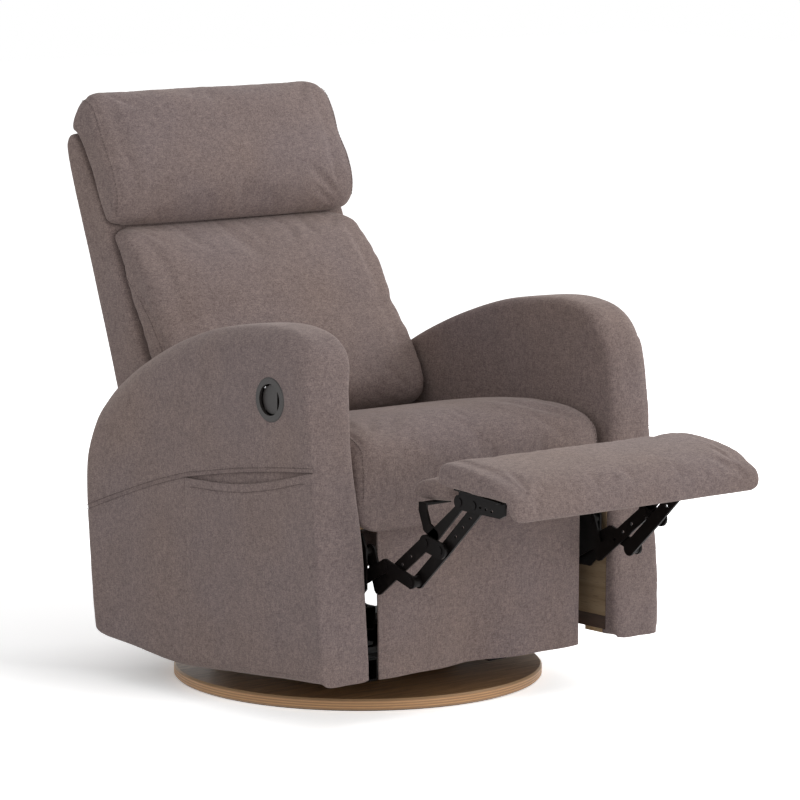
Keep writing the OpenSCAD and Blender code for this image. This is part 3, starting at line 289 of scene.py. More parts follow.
def wovenCloth(name, brightness=1.0):
    f = Finish(name)
    at = f.places()
    shade = {k: toned(cloth[k], brightness) for k in ("base", "dark", "light", "warm", "cool")}
    flecks = f.noisy(at, cloth["threads"], 2.0, 0.7)
    slubs = f.noisy(at, cloth["slubs"], 3.0, 0.6)
    across = f.noisy(f.scaled(at, cloth["weft"]), 1.0, 2.0, 0.6)
    upright = f.noisy(f.scaled(at, cloth["warp"]), 1.0, 2.0, 0.6)
    patches = f.noisy(at, cloth["patches"], 3.0, 0.55)
    clouds = f.noisy(at, cloth["clouds"], 2.0, 0.5)
    heather = flecks * 0.42 + across * 0.20 + upright * 0.20 + slubs * 0.18
    tone = f.mixed(((heather - 0.5) * 5.5 + 0.5).kept(), shade["dark"], shade["light"])
    body = f.mixed(0.22, tone, shade["base"])
    tint = f.mixed(((clouds - 0.5) * 3.0 + 0.5).kept(), shade["warm"], shade["cool"])
    body = f.mixed(0.30, body, tint)
    worn = f.mixed(((patches - 0.5) * 1.6 + 0.5).kept(), body, cloth["worn"], "MULTIPLY")
    normal = f.bumped(flecks * 0.5 + across * 0.25 + upright * 0.25, cloth["grain"], 0.9,
                      f.bumped(slubs, cloth["slubHeight"], 0.35))
    return f.done(Base_Color=worn, Roughness=(heather * 0.16 + 0.86).kept(), Normal=normal,
                  Sheen_Weight=0.28, Sheen_Roughness=0.45, Sheen_Tint=cloth["sheen"],
                  Specular_IOR_Level=0.15)


# Baked black enamel on the linkage, a little paler where it is rubbed
blackEnamel = {"colour": (0.0042, 0.0032, 0.0030), "rubbed": 2.6, "rough": 0.30, "gloss": 0.11,
               "peel": 900.0, "peelHeight": 0.00012, "rubs": 60.0}


def enamel(name):
    f = Finish(name)
    at = f.places()
    peel = f.noisy(at, blackEnamel["peel"], 2.0, 0.5)
    rubs = f.noisy(at, blackEnamel["rubs"], 4.0, 0.6)
    tone = f.mixed(((rubs - 0.56) * 6).kept(0.0, 0.5), blackEnamel["colour"],
                   toned(blackEnamel["colour"], blackEnamel["rubbed"]))
    return f.done(Base_Color=tone, Metallic=0.0, Roughness=(rubs * 0.25 + blackEnamel["rough"]).kept(),
                  Normal=f.bumped(peel, blackEnamel["peelHeight"], 0.5),
                  Specular_IOR_Level=blackEnamel["gloss"])


plating = {"dark": (0.34, 0.34, 0.35), "bright": (0.58, 0.58, 0.59), "spangle": 420.0, "height": 0.00015}


def zincPlate(name):
    f = Finish(name)
    spangle = f.noisy(f.places(), plating["spangle"], 3.0, 0.6)
    return f.done(Base_Color=f.mixed(spangle, plating["dark"], plating["bright"]), Metallic=1.0,
                  Roughness=(spangle * 0.25 + 0.22).kept(), Normal=f.bumped(spangle, plating["height"], 0.3))


mould = {"grain": 1500.0, "height": 0.0001, "blotches": 45.0, "paler": 1.35}


def grainedPlastic(name, colour, rough):
    f = Finish(name)
    grain = f.noisy(f.places(), mould["grain"], 2.0, 0.5)
    blotches = f.noisy(f.places(), mould["blotches"], 2.0, 0.5)
    return f.done(Base_Color=f.mixed(blotches, colour, toned(colour, mould["paler"])),
                  Roughness=(grain * 0.2 + rough).kept(), Normal=f.bumped(grain, mould["height"], 0.6))


sawn = {"across": 70.0, "along": 4.0, "pores": 9, "poreShade": 0.45, "height": 0.0003}


def sawnWood(name, pale, dark, along, rings=1.0, rough=0.6):
    # grain stretched along one axis, with darker rings that wander
    f = Finish(name)
    at = f.places()
    stretch = [sawn["across"]] * 3
    stretch[along] = sawn["along"]
    lines = f.noisy(f.scaled(at, tuple(stretch)), rings, 4.0, 0.62, 0.6)
    pores = f.noisy(f.scaled(at, toned(stretch, sawn["pores"])), 1.0, 2.0, 0.5)
    tone = f.mixed(((lines - 0.36) * 3.2).kept(), pale, dark)
    tone = f.mixed(((pores - 0.58) * 5).kept(0.0, 0.5), tone, toned(dark, sawn["poreShade"]))
    return f.done(Base_Color=tone, Roughness=(lines * 0.2 + rough).kept(),
                  Normal=f.bumped(pores + lines * 0.5, sawn["height"], 0.5))


# Base disc: walnut veneer on its face, the layers of the ply on its rim, and a worn arris between them
disc = {"top": 0.0220, "low": 0.0020, "layers": 9,
        "face": (0.460, 0.250, 0.108), "faceGrain": (0.240, 0.120, 0.050), "facePores": (0.070, 0.036, 0.018),
        "rim": (0.680, 0.400, 0.195), "rimOther": (0.420, 0.225, 0.104), "rimStreaks": (0.520, 0.290, 0.138),
        "glue": (0.090, 0.046, 0.024), "arris": (0.400, 0.260, 0.145), "poreHeight": 0.00015,
        "grainScale": (7.0, 95.0, 95.0), "poreScale": (60.0, 900.0, 900.0),
        "streakScale": (24.0, 24.0, 260.0)}


def veneeredPly(name):
    f = Finish(name)
    at = f.places()
    grain = f.noisy(f.scaled(at, disc["grainScale"]), 1.0, 5.0, 0.62, 0.8)
    pores = f.noisy(f.scaled(at, disc["poreScale"]), 1.0, 2.0, 0.5)
    face = f.mixed(((grain - 0.34) * 3).kept(), disc["face"], disc["faceGrain"])
    face = f.mixed(((pores - 0.57) * 5).kept(0.0, 0.55), face, disc["facePores"])
    split = f.node("ShaderNodeSeparateXYZ", {0: at}, out=2)
    layer = ((split - disc["low"]) / (disc["top"] - disc["low"])) * disc["layers"]
    odd = layer.does("FRACT", layer * 0.5).above(0.5)
    streaks = f.noisy(f.scaled(at, disc["streakScale"]), 1.0, 4.0, 0.6)
    rim = f.mixed(odd, disc["rim"], disc["rimOther"])
    rim = f.mixed(((streaks - 0.4) * 2.2).kept(), rim, disc["rimStreaks"])
    gluePlace = layer.does("FRACT", layer)
    glue = 1 - gluePlace.does("SMOOTH_MIN", gluePlace, 1 - gluePlace, 0.02) * 22
    rim = f.mixed(glue.kept(0.0, 0.6), rim, disc["glue"])
    normal = f.node("ShaderNodeNewGeometry", out="Normal")
    flat = f.node("ShaderNodeSeparateXYZ", {0: normal}, out=2).size()
    tone = f.mixed(flat.above(0.9), rim, face)
    arris = (flat - 0.35).above(0.0) * (1 - flat.above(0.9))
    tone = f.mixed(arris * 0.75, tone, disc["arris"])
    return f.done(Base_Color=tone, Roughness=(grain * 0.2 + 0.42).kept(), Coat_Weight=0.12,
                  Coat_Roughness=0.35, Normal=f.bumped(pores, disc["poreHeight"], 0.5))


fabric = wovenCloth("fabric_taupe")
# the cloth darkened to 0.55 for the stitches: painted shade along the seams
fabricSeamShade = wovenCloth("fabric_taupe_seams_painted_shade", 0.55)
steel = enamel("steel_black_enamel")
zinc = zincPlate("zinc_plated")
plasticDark = grainedPlastic("plastic_charcoal", (0.016, 0.013, 0.012), 0.36)
rubber = grainedPlastic("rubber_ring", (0.012, 0.012, 0.012), 0.7)
nylon = grainedPlastic("nylon_natural", (0.66, 0.64, 0.57), 0.4)
walnut = veneeredPly("walnut_ply")
pineWood = sawnWood("pine_rails", (0.56, 0.40, 0.235), (0.40, 0.255, 0.13), 0)
boardWood = sawnWood("board_raw", (0.30, 0.215, 0.130), (0.215, 0.145, 0.082), 1, 0.7, 0.7)
stainedWood = sawnWood("rail_stained", (0.060, 0.034, 0.023), (0.030, 0.016, 0.011), 1)
felt = wovenCloth("felt_grey", 0.8)
slotFinish = {"fabric": fabric, "steel_black": steel, "zinc": zinc, "plastic_black": plasticDark,
              "nylon": nylon, "walnut_ply": walnut, "pine": pineWood, "dark_rail": stainedWood, "felt": felt}
nodeFinish = {"floor_ring": rubber, "arm_inner_boards": boardWood, "arm_panel_left": boardWood,
              "arm_panel_right": boardWood, "footrest_board": boardWood}


def dressSolids():
    for part in frame["record"]["subparts"]:
        mesh = nodes[part["node"]].data
        material = nodeFinish.get(part["node"], slotFinish[part["material_slot"]])
        if not mesh.materials:
            mesh.materials.append(material)
        for place in range(len(mesh.materials)):
            mesh.materials[place] = material


dressSolids()
print("finishes made")


# Padded pieces

def remeshed(piece, voxel, rounds):
    grid = piece.modifiers.new("grid", "REMESH")
    grid.mode, grid.voxel_size = "VOXEL", voxel
    ease = piece.modifiers.new("ease", "SMOOTH")
    ease.factor, ease.iterations = 0.5, rounds
    return bake(piece)


def drawnOut(piece, target, share=0.8, least=0.0012):
    # moves the eased corners back out towards the solid they came from
    surface = BVHTree.FromObject(target, bpy.context.evaluated_depsgraph_get())
    co = pointsOf(piece)
    for i, p in enumerate(co):
        near, normal, _, away = surface.find_nearest(Vector(p))
        if away > least and (near - Vector(p)).dot(normal) > 0:
            co[i] += np.array(near - Vector(p)) * share * (away - least) / away
    setPoints(piece, co)


def subdivided(piece, levels=1):
    more = piece.modifiers.new("more", "SUBSURF")
    more.levels = more.render_levels = levels
    return bake(piece)


stuffing = {"quality": 4, "mass": 0.25, "stretch": 12, "shear": 6, "bend": 1.5, "frames": 20,
            "resting": (-0.10, 0.35)}


def puffed(piece, pressure, slack, cap, held):
    # pressed outward as stuffed cloth; held gives 1 where it is sewn or lies against the frame,
    # and each point is kept within cap of where it began
    start = pointsOf(piece)
    sim = piece.modifiers.new("stuffing", "CLOTH")
    how = sim.settings
    how.quality, how.mass = stuffing["quality"], stuffing["mass"]
    how.tension_stiffness = how.compression_stiffness = stuffing["stretch"]
    how.shear_stiffness, how.bending_stiffness = stuffing["shear"], stuffing["bend"]
    how.use_pressure = True
    how.uniform_pressure_force = pressure
    how.shrink_min = -slack
    how.effector_weights.gravity = 0
    group = piece.vertex_groups.new(name="held")
    still = held(start, normalsOf(piece))
    for index in np.nonzero(still > 0.02)[0].tolist():
        group.add([index], float(still[index]), "REPLACE")
    how.vertex_group_mass = "held"
    how.pin_stiffness = 1.0
    sim.point_cache.frame_start, sim.point_cache.frame_end = 1, stuffing["frames"]
    for step in range(1, stuffing["frames"] + 1):
        scene.frame_set(step)
    seen = piece.evaluated_get(bpy.context.evaluated_depsgraph_get())
    ended = np.empty(len(start) * 3)
    seen.data.vertices.foreach_get("co", ended)
    move = ended.reshape(-1, 3) - start
    move *= (1 - still)[:, None]
    length = np.linalg.norm(move, axis=1, keepdims=True)
    limit = cap * np.tanh(length / cap)
    piece.modifiers.clear()
    piece.vertex_groups.clear()
    setPoints(piece, start + move * limit / np.maximum(length, 1e-9))
    scene.frame_set(1)
    return piece


def onSurface(piece, corners, spacing=0.004):
    # a line through the corners, laid on the piece's surface
    surface = BVHTree.FromObject(piece, bpy.context.evaluated_depsgraph_get())
    line = [Vector(c) for c in corners]
    smooth = []
    for i in range(len(line) - 1):
        a, b = line[max(i - 1, 0)], line[i]
        c, d = line[i + 1], line[min(i + 2, len(line) - 1)]
        steps = max(2, int((c - b).length / spacing))
        smooth += [bend(a, b, c, d, k / steps) for k in range(steps)]
    smooth.append(line[-1])
    return [surface.find_nearest(p)[:2] for p in smooth]


def nearLine(co, laid, reach):
    # each point's distance to the line, and the line's nearest point
    tree = kdtree.KDTree(len(laid))
    for i, (p, _) in enumerate(laid):
        tree.insert(p, i)
    tree.balance()
    away = np.full(len(co), np.inf)
    which = np.zeros(len(co), int)
    line = np.array([p for p, _ in laid])
    low, high = line.min(0) - reach, line.max(0) + reach
    for i in np.nonzero(((co > low) & (co < high)).all(1))[0]:
        _, k, d = tree.find(co[i])
        away[i], which[i] = d, k
    return away, which


def sewn(piece, laid, depth, width, pucker=0.0, spacing=0.03, reach=0.03, seed=1):
    # a seam: a groove along the line, and small folds that run away from it
    co, normal = pointsOf(piece), normalsOf(piece)
    away, which = nearLine(co, laid, reach * 3)
    step = (laid[1][0] - laid[0][0]).length
    folds = np.array([noise.noise(Vector((k * step / spacing, seed * 5.3, 0))) for k in range(len(laid))])
    sink = depth * np.exp(-(away / width) ** 2)
    ripple = pucker * np.exp(-(away / reach)) * (away < 3 * reach) * folds[which]
    setPoints(piece, co - normal * (sink + ripple)[:, None])
    return piece


def rumpled(piece, amount, scale, seed, where=None):
    # loose cloth: waves of this height and density, everywhere or where asked
    co, normal = pointsOf(piece), normalsOf(piece)
    wave = wavy(co, scale, seed) * amount
    if where is not None:
        wave = wave * where(co)
    setPoints(piece, co + normal * wave[:, None])
    return piece


def fade(values, low, high):
    # 0 below low, 1 above high, and a smooth rise between
    t = np.clip((values - low) / (high - low), 0, 1)
    return t * t * (3 - 2 * t)


stitchLines = {}


def stitched(body, laid, aside=0.0, lift=0.0004):
    # keeps a line for the stitch maker, moved aside from the seam if asked
    line = []
    for i, (p, n) in enumerate(laid):
        ahead = (laid[min(i + 1, len(laid) - 1)][0] - laid[max(i - 1, 0)][0]).normalized()
        across = n.cross(ahead).normalized()
        line.append(p + across * aside + n * lift)
    stitchLines.setdefault(body, []).append(line)


# Arms: the same outline and rolls as the solids, with many more points. Each outline point has its
# places along and up the arm as shares, and the shares of the outer roll's height and width it gets.
arm = {"out": 0.390, "thick": 0.106, "front": -0.379, "long": 0.678, "low": 0.060, "high": 0.620,
       "rollHigh": 0.044, "rollWide": 0.046, "innerRoll": 0.024, "innerShare": 0.45, "middle": (0.47, 0.42),
       "innerTurns": (90, 78, 66, 54, 42, 28, 14, 0), "outerTurns": range(0, 91, 10), "steps": 24,
       "faceShares": (0.0, 0.06, 0.12, 0.2, 0.3, 0.42, 0.55, 0.7, 0.85), "voxel": 0.0045, "ease": 6,
       "outline": [(0.004, 0.045, 0.4, 0.4), (0.03, 0.043, 0.4, 0.4), (0.33, 0.020, 0.4, 0.4),
                   (0.60, 0.000, 0.4, 0.4), (0.80, 0.016, 0.4, 0.4), (0.945, 0.030, 0.4, 0.4),
                   (0.962, 0.075, 0.1, 0.4), (0.978, 0.24, 0.1, 0.5), (0.995, 0.44, 0.15, 0.6),
                   (0.999, 0.56, 0.4, 0.9), (0.996, 0.66, 1.3, 1.4), (0.975, 0.718, 2.1, 1.7),
                   (0.92, 0.768, 1.9, 1.7), (0.81, 0.836, 1.5, 1.5), (0.66, 0.908, 1.15, 1.2),
                   (0.50, 0.962, 1, 1), (0.36, 0.988, 1, 1), (0.265, 0.998, 1, 1), (0.20, 0.995, 1, 1),
                   (0.145, 0.982, 1, 1), (0.104, 0.955, 0.95, 1), (0.078, 0.915, 0.8, 1),
                   (0.064, 0.86, 0.55, 0.9), (0.052, 0.75, 0.3, 0.7), (0.040, 0.60, 0.25, 0.6),
                   (0.026, 0.40, 0.2, 0.5), (0.012, 0.20, 0.15, 0.4)],
       "handle": (-0.235, 0.558), "holeWide": 0.0372, "holeDeep": 0.029,
       "pocketFront": (-0.344, 0.447), "pocketBack": (0.004, 0.396), "pocketLow": 0.150,
       "board": (-0.3462, 0.2622, 0.334), "boardThick": 0.0063}


def armRing(turn, outer):
    # one ring of the arm's skin, turned part of the way over its inner or outer roll
    half = math.radians(turn)
    core = np.array([arm["front"] + arm["middle"][0] * arm["long"],
                     arm["low"] + arm["middle"][1] * arm["high"]])
    ring = []
    for along, up, highShare, wideShare in arm["outline"]:
        p = np.array([arm["front"] + along * arm["long"], arm["low"] + up * arm["high"]])
        drop = arm["rollHigh"] * highShare if outer else arm["innerRoll"] * arm["innerShare"]
        wide = arm["rollWide"] * wideShare if outer else arm["innerRoll"]
        inward = (core - p) / np.linalg.norm(core - p)
        q = p + inward * drop * (1 - math.cos(half))
        behind = wide * (1 - math.sin(half))
        x = arm["out"] - behind if outer else arm["out"] - arm["thick"] + behind
        ring.append((x, q[0], q[1]))
    return ring, core


def armShell(name):
    rings = []
    turns = [(turn, False) for turn in arm["innerTurns"]] + [(turn, True) for turn in arm["outerTurns"]]
    for turn, outer in turns:
        ring, core = armRing(turn, outer)
        rings.append(smoothLoop(ring, arm["steps"]))
    count = len(rings[0])
    verts, faces = [], []
    shares = arm["faceShares"]
    start, end = rings[0], rings[-1]
    core3 = np.array([[0, core[0], core[1]]])

    def toward(ring, share):
        flat = ring.copy()
        flat[:, 1:] = lerp(ring[:, 1:], core3[:, 1:], share)
        return flat

    loops = [toward(start, s) for s in shares[:0:-1]] + rings + [toward(end, s) for s in shares[1:]]
    for loop in loops:
        verts.extend(loop)
    for i in range(len(loops) - 1):
        for j in range(count):
            k = (j + 1) % count
            faces.append((i * count + j, i * count + k, (i + 1) * count + k, (i + 1) * count + j))
    verts.append((start[0][0], *core))
    verts.append((end[0][0], *core))
    last = (len(loops) - 1) * count
    for j in range(count):
        k = (j + 1) % count
        faces.append((len(verts) - 2, k, j))
        faces.append((len(verts) - 1, last + j, last + k))
    piece = newPiece(name, verts, faces)
    faceOut(piece)
    return piece


def prism(name, outline, x0, x1):
    # a closed outline in the side view, drawn out along x
    count = len(outline)
    verts = [(x0, y, z) for y, z in outline] + [(x1, y, z) for y, z in outline]
    faces = [tuple(range(count)), tuple(range(2 * count - 1, count - 1, -1))]
    faces += [(j, (j + 1) % count, (j + 1) % count + count, j + count) for j in range(count)]
    piece = newPiece(name, verts, faces)
    faceOut(piece)
    return piece


def cutBy(piece, cutters):
    for cutter in cutters:
        cut = piece.modifiers.new("cut", "BOOLEAN")
        cut.operation, cut.object, cut.solver = "DIFFERENCE", cutter, "EXACT"
    bake(piece)
    for cutter in cutters:
        bpy.data.objects.remove(cutter)
    return piece


def pocketEdge(y, sag=0.0):
    (y0, z0), (y1, z1) = arm["pocketFront"], arm["pocketBack"]
    share = (y - y0) / (y1 - y0)
    return lerp(z0, z1, share) - sag * math.sin(math.pi * min(max(share, 0), 1))


# The side pocket's cloth is the lower front part of the right arm's own skin, from the mouth down.
# Its outline runs down the arm's front edge and back along its foot.
pocket = {"arch": 0.005, "sag": 0.015, "deep": 0.0052, "skin": 0.0030, "belly": 0.0022, "bellyHigh": 0.12,
          "slack": 0.0012, "hem": 0.016, "hemWide": 0.0016, "hemDeep": 0.0007, "hemInset": 0.02,
          "hemPoints": 80, "hemAhead": 0.006, "slackWaves": (11.0, 5),
          "voxel": 0.0016, "overlap": 0.0008, "middle": (-0.17, 0.24), "mouthInset": (0.004, 0.014),
          "front": [(-0.344, 0.446), (-0.3455, 0.400), (-0.3535, 0.308), (-0.3625, 0.184), (-0.3655, 0.108)],
          "foot": [(-0.358, 0.099), (-0.155, 0.084), (-0.010, 0.075)]}
mouthSteps = 33
proud = 0.02  # how far a cutter stands out of the face that it cuts


def pocketCloth(shrink):
    # outline of the pocket's cloth in the side view
    (y0, _), (y1, z1) = arm["pocketFront"], arm["pocketBack"]
    mouth = [(y, pocketEdge(y, pocket["sag"])) for y in np.linspace(y1, y0, mouthSteps)[1:-1]]
    outline = [(y1, z1)] + mouth + pocket["front"] + pocket["foot"]
    middle = np.array(pocket["middle"])
    return [tuple(np.array(q) + (middle - q) / np.linalg.norm(middle - q) * shrink) for q in outline]


def intersected(piece, cutter, name):
    part = piece.copy()
    part.data = piece.data.copy()
    part.name = name
    scene.collection.objects.link(part)
    cut = part.modifiers.new("cut", "BOOLEAN")
    cut.operation, cut.object, cut.solver = "INTERSECT", cutter, "EXACT"
    bake(part)
    bpy.data.objects.remove(cutter)
    return part


def mirrorX(piece):
    co = pointsOf(piece)
    co[:, 0] *= -1
    setPoints(piece, co)
    piece.data.flip_normals()


def mirrored(laid, side):
    # a line made on the left arm, moved to its own side
    return [(Vector((p.x * side, p.y, p.z)), Vector((n.x * side, n.y, n.z))) for p, n in laid]


def pocketPanel(shell):
    x = arm["out"]
    slab = prism("pocket_slab", pocketCloth(0), x - pocket["skin"], x + proud)
    piece = intersected(shell, slab, "side_pocket_fabric")
    dense = piece.modifiers.new("dense", "REMESH")
    dense.mode, dense.voxel_size = "VOXEL", pocket["voxel"]
    bake(piece)
    co = pointsOf(piece)
    (y0, _), (y1, _) = arm["pocketFront"], arm["pocketBack"]
    share = np.clip((co[:, 1] - y0) / (y1 - y0), 0, 1)
    lip = np.array([pocketEdge(y, pocket["sag"]) for y in co[:, 1]])
    down = np.clip(1 - (lip - co[:, 2]) / pocket["bellyHigh"], 0, 1)
    across = np.sin(np.pi * share)
    slack = wavy(co * (1, 1, 0.5), *pocket["slackWaves"])
    co[:, 0] += across * down ** 1.6 * (pocket["belly"] + pocket["slack"] * slack)
    hemAt = np.exp(-((lip - co[:, 2] - pocket["hem"]) / pocket["hemWide"]) ** 2)
    co[:, 0] -= pocket["hemDeep"] * hemAt * (across > 0.2)
    setPoints(piece, co)
    hem = np.linspace(y0 + pocket["hemInset"], y1 - pocket["hemInset"], pocket["hemPoints"])
    line = onSurface(piece, [(x + pocket["hemAhead"], y, pocketEdge(y, pocket["sag"]) - pocket["hem"])
                             for y in hem])
    mirrorX(piece)
    stitched("chassis", mirrored(line, -1))
    shadeSoft(piece, 60)
    finish(piece, fabric, "chassis", "fabric", "side_pocket")


# Seams of an arm: corners as (x from the outer face, y, z), the front band's from the inner face.
# A depth below 0 stands up as a welt.
armSeams = {
    "welt": dict(line=[(0, -0.371, 0.100), (0, -0.371, 0.184), (0, -0.361, 0.308), (0, -0.352, 0.432),
                       (0, -0.340, 0.535), (-0.004, -0.326, 0.612)],
                 depth=-0.0016, width=0.0045, pucker=0.0010, spacing=0.05, reach=0.02, seed=4),
    "tab": dict(line=[(-0.03, -0.335, 0.610), (-0.012, -0.325, 0.612), (0, -0.300, 0.616)],
                depth=0.0012, width=0.0030),
    "rear": dict(line=[(0, 0.292, 0.304), (0, 0.219, 0.331), (0, 0.102, 0.371)],
                 depth=0.0020, width=0.0030, pucker=0.0008, spacing=0.04, reach=0.02, seed=7),
    "fall": dict(line=[(0, 0.004, 0.388), (0, -0.003, 0.250), (0, -0.009, 0.090)],
                 depth=0.0008, width=0.0060, pucker=0.0006, spacing=0.06, reach=0.03, seed=8),
    "band": dict(line=[(0, -0.297, 0.650), (0, -0.270, 0.628), (0, -0.235, 0.569), (0, -0.202, 0.491),
                       (0, -0.180, 0.420)],
                 depth=0.0022, width=0.0040, pucker=0.0012, spacing=0.04, reach=0.03, seed=9),
}
# Height and density of the loose cloth's waves, and where the front's folds are
armCloth = {"waves": (0.0012, 8.0), "folds": (0.0016, 26.0, 5), "foldsFront": (0.30, 0.35),
            "foldsDeep": (0.02, 0.05), "foldsTop": (0.52, 0.60), "stitchAside": 0.004, "seamRise": 0.003,
            "seamCorners": 9}
# The front band leans away from the seat: how far, ahead of which slanting line, how deep into the arm
# and over which heights
bandLean = {"far": 0.017, "slope": 0.30, "level": 0.42, "ahead": (0.175, 0.335), "deep": (0.012, 0.06),
            "low": (0.27, 0.52), "high": (0.57, 0.65)}
# Rooms cut into the arm: for the inner board, and open below between the panels, as the frame is
armRoom = {"low": 0.02, "inset": 0.014, "lap": 0.004, "wall": 0.016, "past": 0.01, "handleSides": 64}


def armSeam(piece, name, face, more=()):
    how = dict(armSeams[name])
    laid = onSurface(piece, [(face + x, y, z) for x, y, z in how.pop("line")] + list(more))
    sewn(piece, laid, **how)
    return laid


def foldedFront(piece, inner):
    def where(co):
        return (fade(-co[:, 1], *armCloth["foldsFront"])
                * fade(co[:, 0], *(inner + d for d in armCloth["foldsDeep"]))
                * (1 - fade(co[:, 2], *armCloth["foldsTop"])))

    rumpled(piece, *armCloth["folds"], where)


def leanedBand(piece, inner):
    co = pointsOf(piece)
    lean = fade(-co[:, 1] - bandLean["slope"] * (co[:, 2] - bandLean["level"]), *bandLean["ahead"])
    lean = lean * (1 - fade(co[:, 0], *(inner + d for d in bandLean["deep"])))
    co[:, 0] += (bandLean["far"] * lean * fade(co[:, 2], *bandLean["low"])
                 * (1 - fade(co[:, 2], *bandLean["high"])))
    setPoints(piece, co)


def armRooms(side):
    x = arm["out"]
    inner = x - arm["thick"]
    y0, y1, top = arm["board"]
    low, inset = armRoom["low"], armRoom["inset"]
    rooms = [prism("board_room", [(y0, low), (y1, low), (y1, top), (y0, top)], inner - armRoom["past"],
                   inner + arm["boardThick"]),
             prism("arm_room", [(y0 + inset, low), (y1 - inset, low), (y1 - inset, top - inset),
                                (y0 + inset, top - inset)],
                   inner + arm["boardThick"] - armRoom["lap"], x - armRoom["wall"])]
    if side < 0:
        hy, hz = arm["handle"]
        around = [(hy + arm["holeWide"] * math.cos(a), hz + arm["holeWide"] * math.sin(a))
                  for a in np.linspace(0, 2 * math.pi, armRoom["handleSides"], endpoint=False)]
        rooms.append(prism("handle_room", around, x - arm["holeDeep"], x + proud))
        (py0, _), (py1, _) = arm["pocketFront"], arm["pocketBack"]
        ahead, behind = pocket["mouthInset"]
        slot = [(py1 - behind, arm["pocketLow"]), (py0 + ahead, arm["pocketLow"])]
        slot += [(y, pocketEdge(y, -pocket["arch"])) for y in np.linspace(py0, py1, mouthSteps)]
        rooms.append(prism("pocket_room", slot, x - pocket["deep"], x + proud))
        rooms.append(prism("pocket_seat", pocketCloth(pocket["overlap"]), x - pocket["skin"], x + proud))
    return rooms


def makeArm(side):
    # made as the left arm, and mirrored for the right one
    piece = armShell("arm_fabric_right" if side < 0 else "arm_fabric_left")
    remeshed(piece, arm["voxel"], arm["ease"])
    x = arm["out"]
    inner = x - arm["thick"]
    rumpled(piece, *armCloth["waves"], 3 + side)
    foldedFront(piece, inner)
    armSeam(piece, "welt", x)
    armSeam(piece, "tab", x)
    mouth = [(y, pocketEdge(y, -pocket["arch"]))
             for y in np.linspace(arm["pocketBack"][0], arm["pocketFront"][0], armCloth["seamCorners"])]
    rear = armSeam(piece, "rear", x, [(x, y, z + armCloth["seamRise"]) for y, z in mouth])
    if side < 0:
        armSeam(piece, "fall", x)
    leanedBand(piece, inner)
    armSeam(piece, "band", inner)
    if side < 0:
        pocketPanel(piece)
    cutBy(piece, armRooms(side))
    if side < 0:
        mirrorX(piece)
    for aside in (-armCloth["stitchAside"], armCloth["stitchAside"]):
        stitched("chassis", mirrored(rear, side), aside)
    shadeSoft(piece, 50)
    finish(piece, fabric, "chassis", "fabric", "arm_pad_right" if side < 0 else "arm_pad_left")


for side in (-1, 1):
    makeArm(side)
print("arms and pocket made")


# Seat, back, pillow, footrest and flap start from the solids' own forms. half and border say where the
# ends are held while the cover is puffed, rest where it lies on its frame; waves are height, density, seed.
soft = {
    "seat_fabric": dict(node="seat_cushion", body="chassis", voxel=0.0070, ease=4, pressure=4.0, slack=0.008,
                        cap=0.009, fill=0.7, half=0.268, border=0.050, rest=(0, 0, -1),
                        waves=(0.0016, 7.0, 11)),
    "back_fabric": dict(node="back_cushion", body="back", voxel=0.0070, ease=3, pressure=3.5, slack=0.008,
                        cap=0.009, fill=0.65, half=0.272, border=0.055, rest=(0, 0.86, -0.5),
                        waves=(0.0018, 6.0, 17)),
    "pillow_fabric": dict(node="head_pillow", body="back", voxel=0.0065, ease=3, pressure=4.0, slack=0.008,
                          cap=0.007, fill=0.7, half=0.281, border=0.060, rest=(0, 0.9, -0.44),
                          waves=(0.0016, 8.0, 23)),
    "footrest_fabric": dict(node="footrest_pad", body="footrest", voxel=0.0050, ease=4, pressure=2.5,
                            slack=0.012, cap=0.004, fill=0.8, half=0.280, border=0.040, rest=(0, 0.3, -0.95),
                            waves=(0.0008, 10.0, 31)),
    "flap_fabric": dict(node="flap_pad", body="upper_link", voxel=0.0045, ease=4, pressure=2.0, slack=0.010,
                        cap=0.003, fill=0.8, half=0.234, border=0.030, rest=(0, 0, -1), waves=None),
}
# Seams beside both ends of a cushion, with the depth and pucker at -x and at +x, and the stretch of the
# seam that shows its stitches
endSeams = {
    "seat_fabric": dict(line=[(0.264, -0.338, 0.372), (0.262, -0.336, 0.440), (0.258, -0.318, 0.476),
                              (0.254, -0.250, 0.492), (0.254, -0.100, 0.482), (0.254, 0.060, 0.448)],
                        depth=(0.0016, 0.0016), pucker=(0.0014, 0.0014), width=0.0045, spacing=0.035,
                        reach=0.035, seed=13, shows=slice(6, None), aside=0.007),
    "back_fabric": dict(line=[(0.262, 0.128, 0.470), (0.262, 0.192, 0.560), (0.262, 0.262, 0.655),
                              (0.262, 0.325, 0.715), (0.262, 0.350, 0.745)],
                        depth=(0.0026, 0.0006), pucker=(0.0030, 0.0016), width=0.0050, spacing=0.024,
                        reach=0.035, seed=19, shows=slice(3, -3), aside=0.008),
    "pillow_fabric": dict(line=[(0.262, 0.372, 0.815), (0.266, 0.352, 0.850), (0.266, 0.370, 0.905),
                                (0.266, 0.402, 0.965), (0.262, 0.440, 1.008), (0.258, 0.475, 1.016)],
                          depth=(0.0018, 0.0004), pucker=(0.0012, 0.0012), width=0.0045, spacing=0.022,
                          reach=0.03, seed=29, shows=slice(4, -4), aside=0.007),
}
seatEdge = {"drop": 0.0035, "ahead": (0.315, 0.330), "above": (0.336, 0.365)}
backBand = {"waves": (0.0022, 42.0, 18), "from": (0.258, 0.266)}
pillowEnd = {"half": 0.281, "wide": 0.060, "high": 0.018, "core": (0.410, 0.915), "above": (0.950, 1.020)}


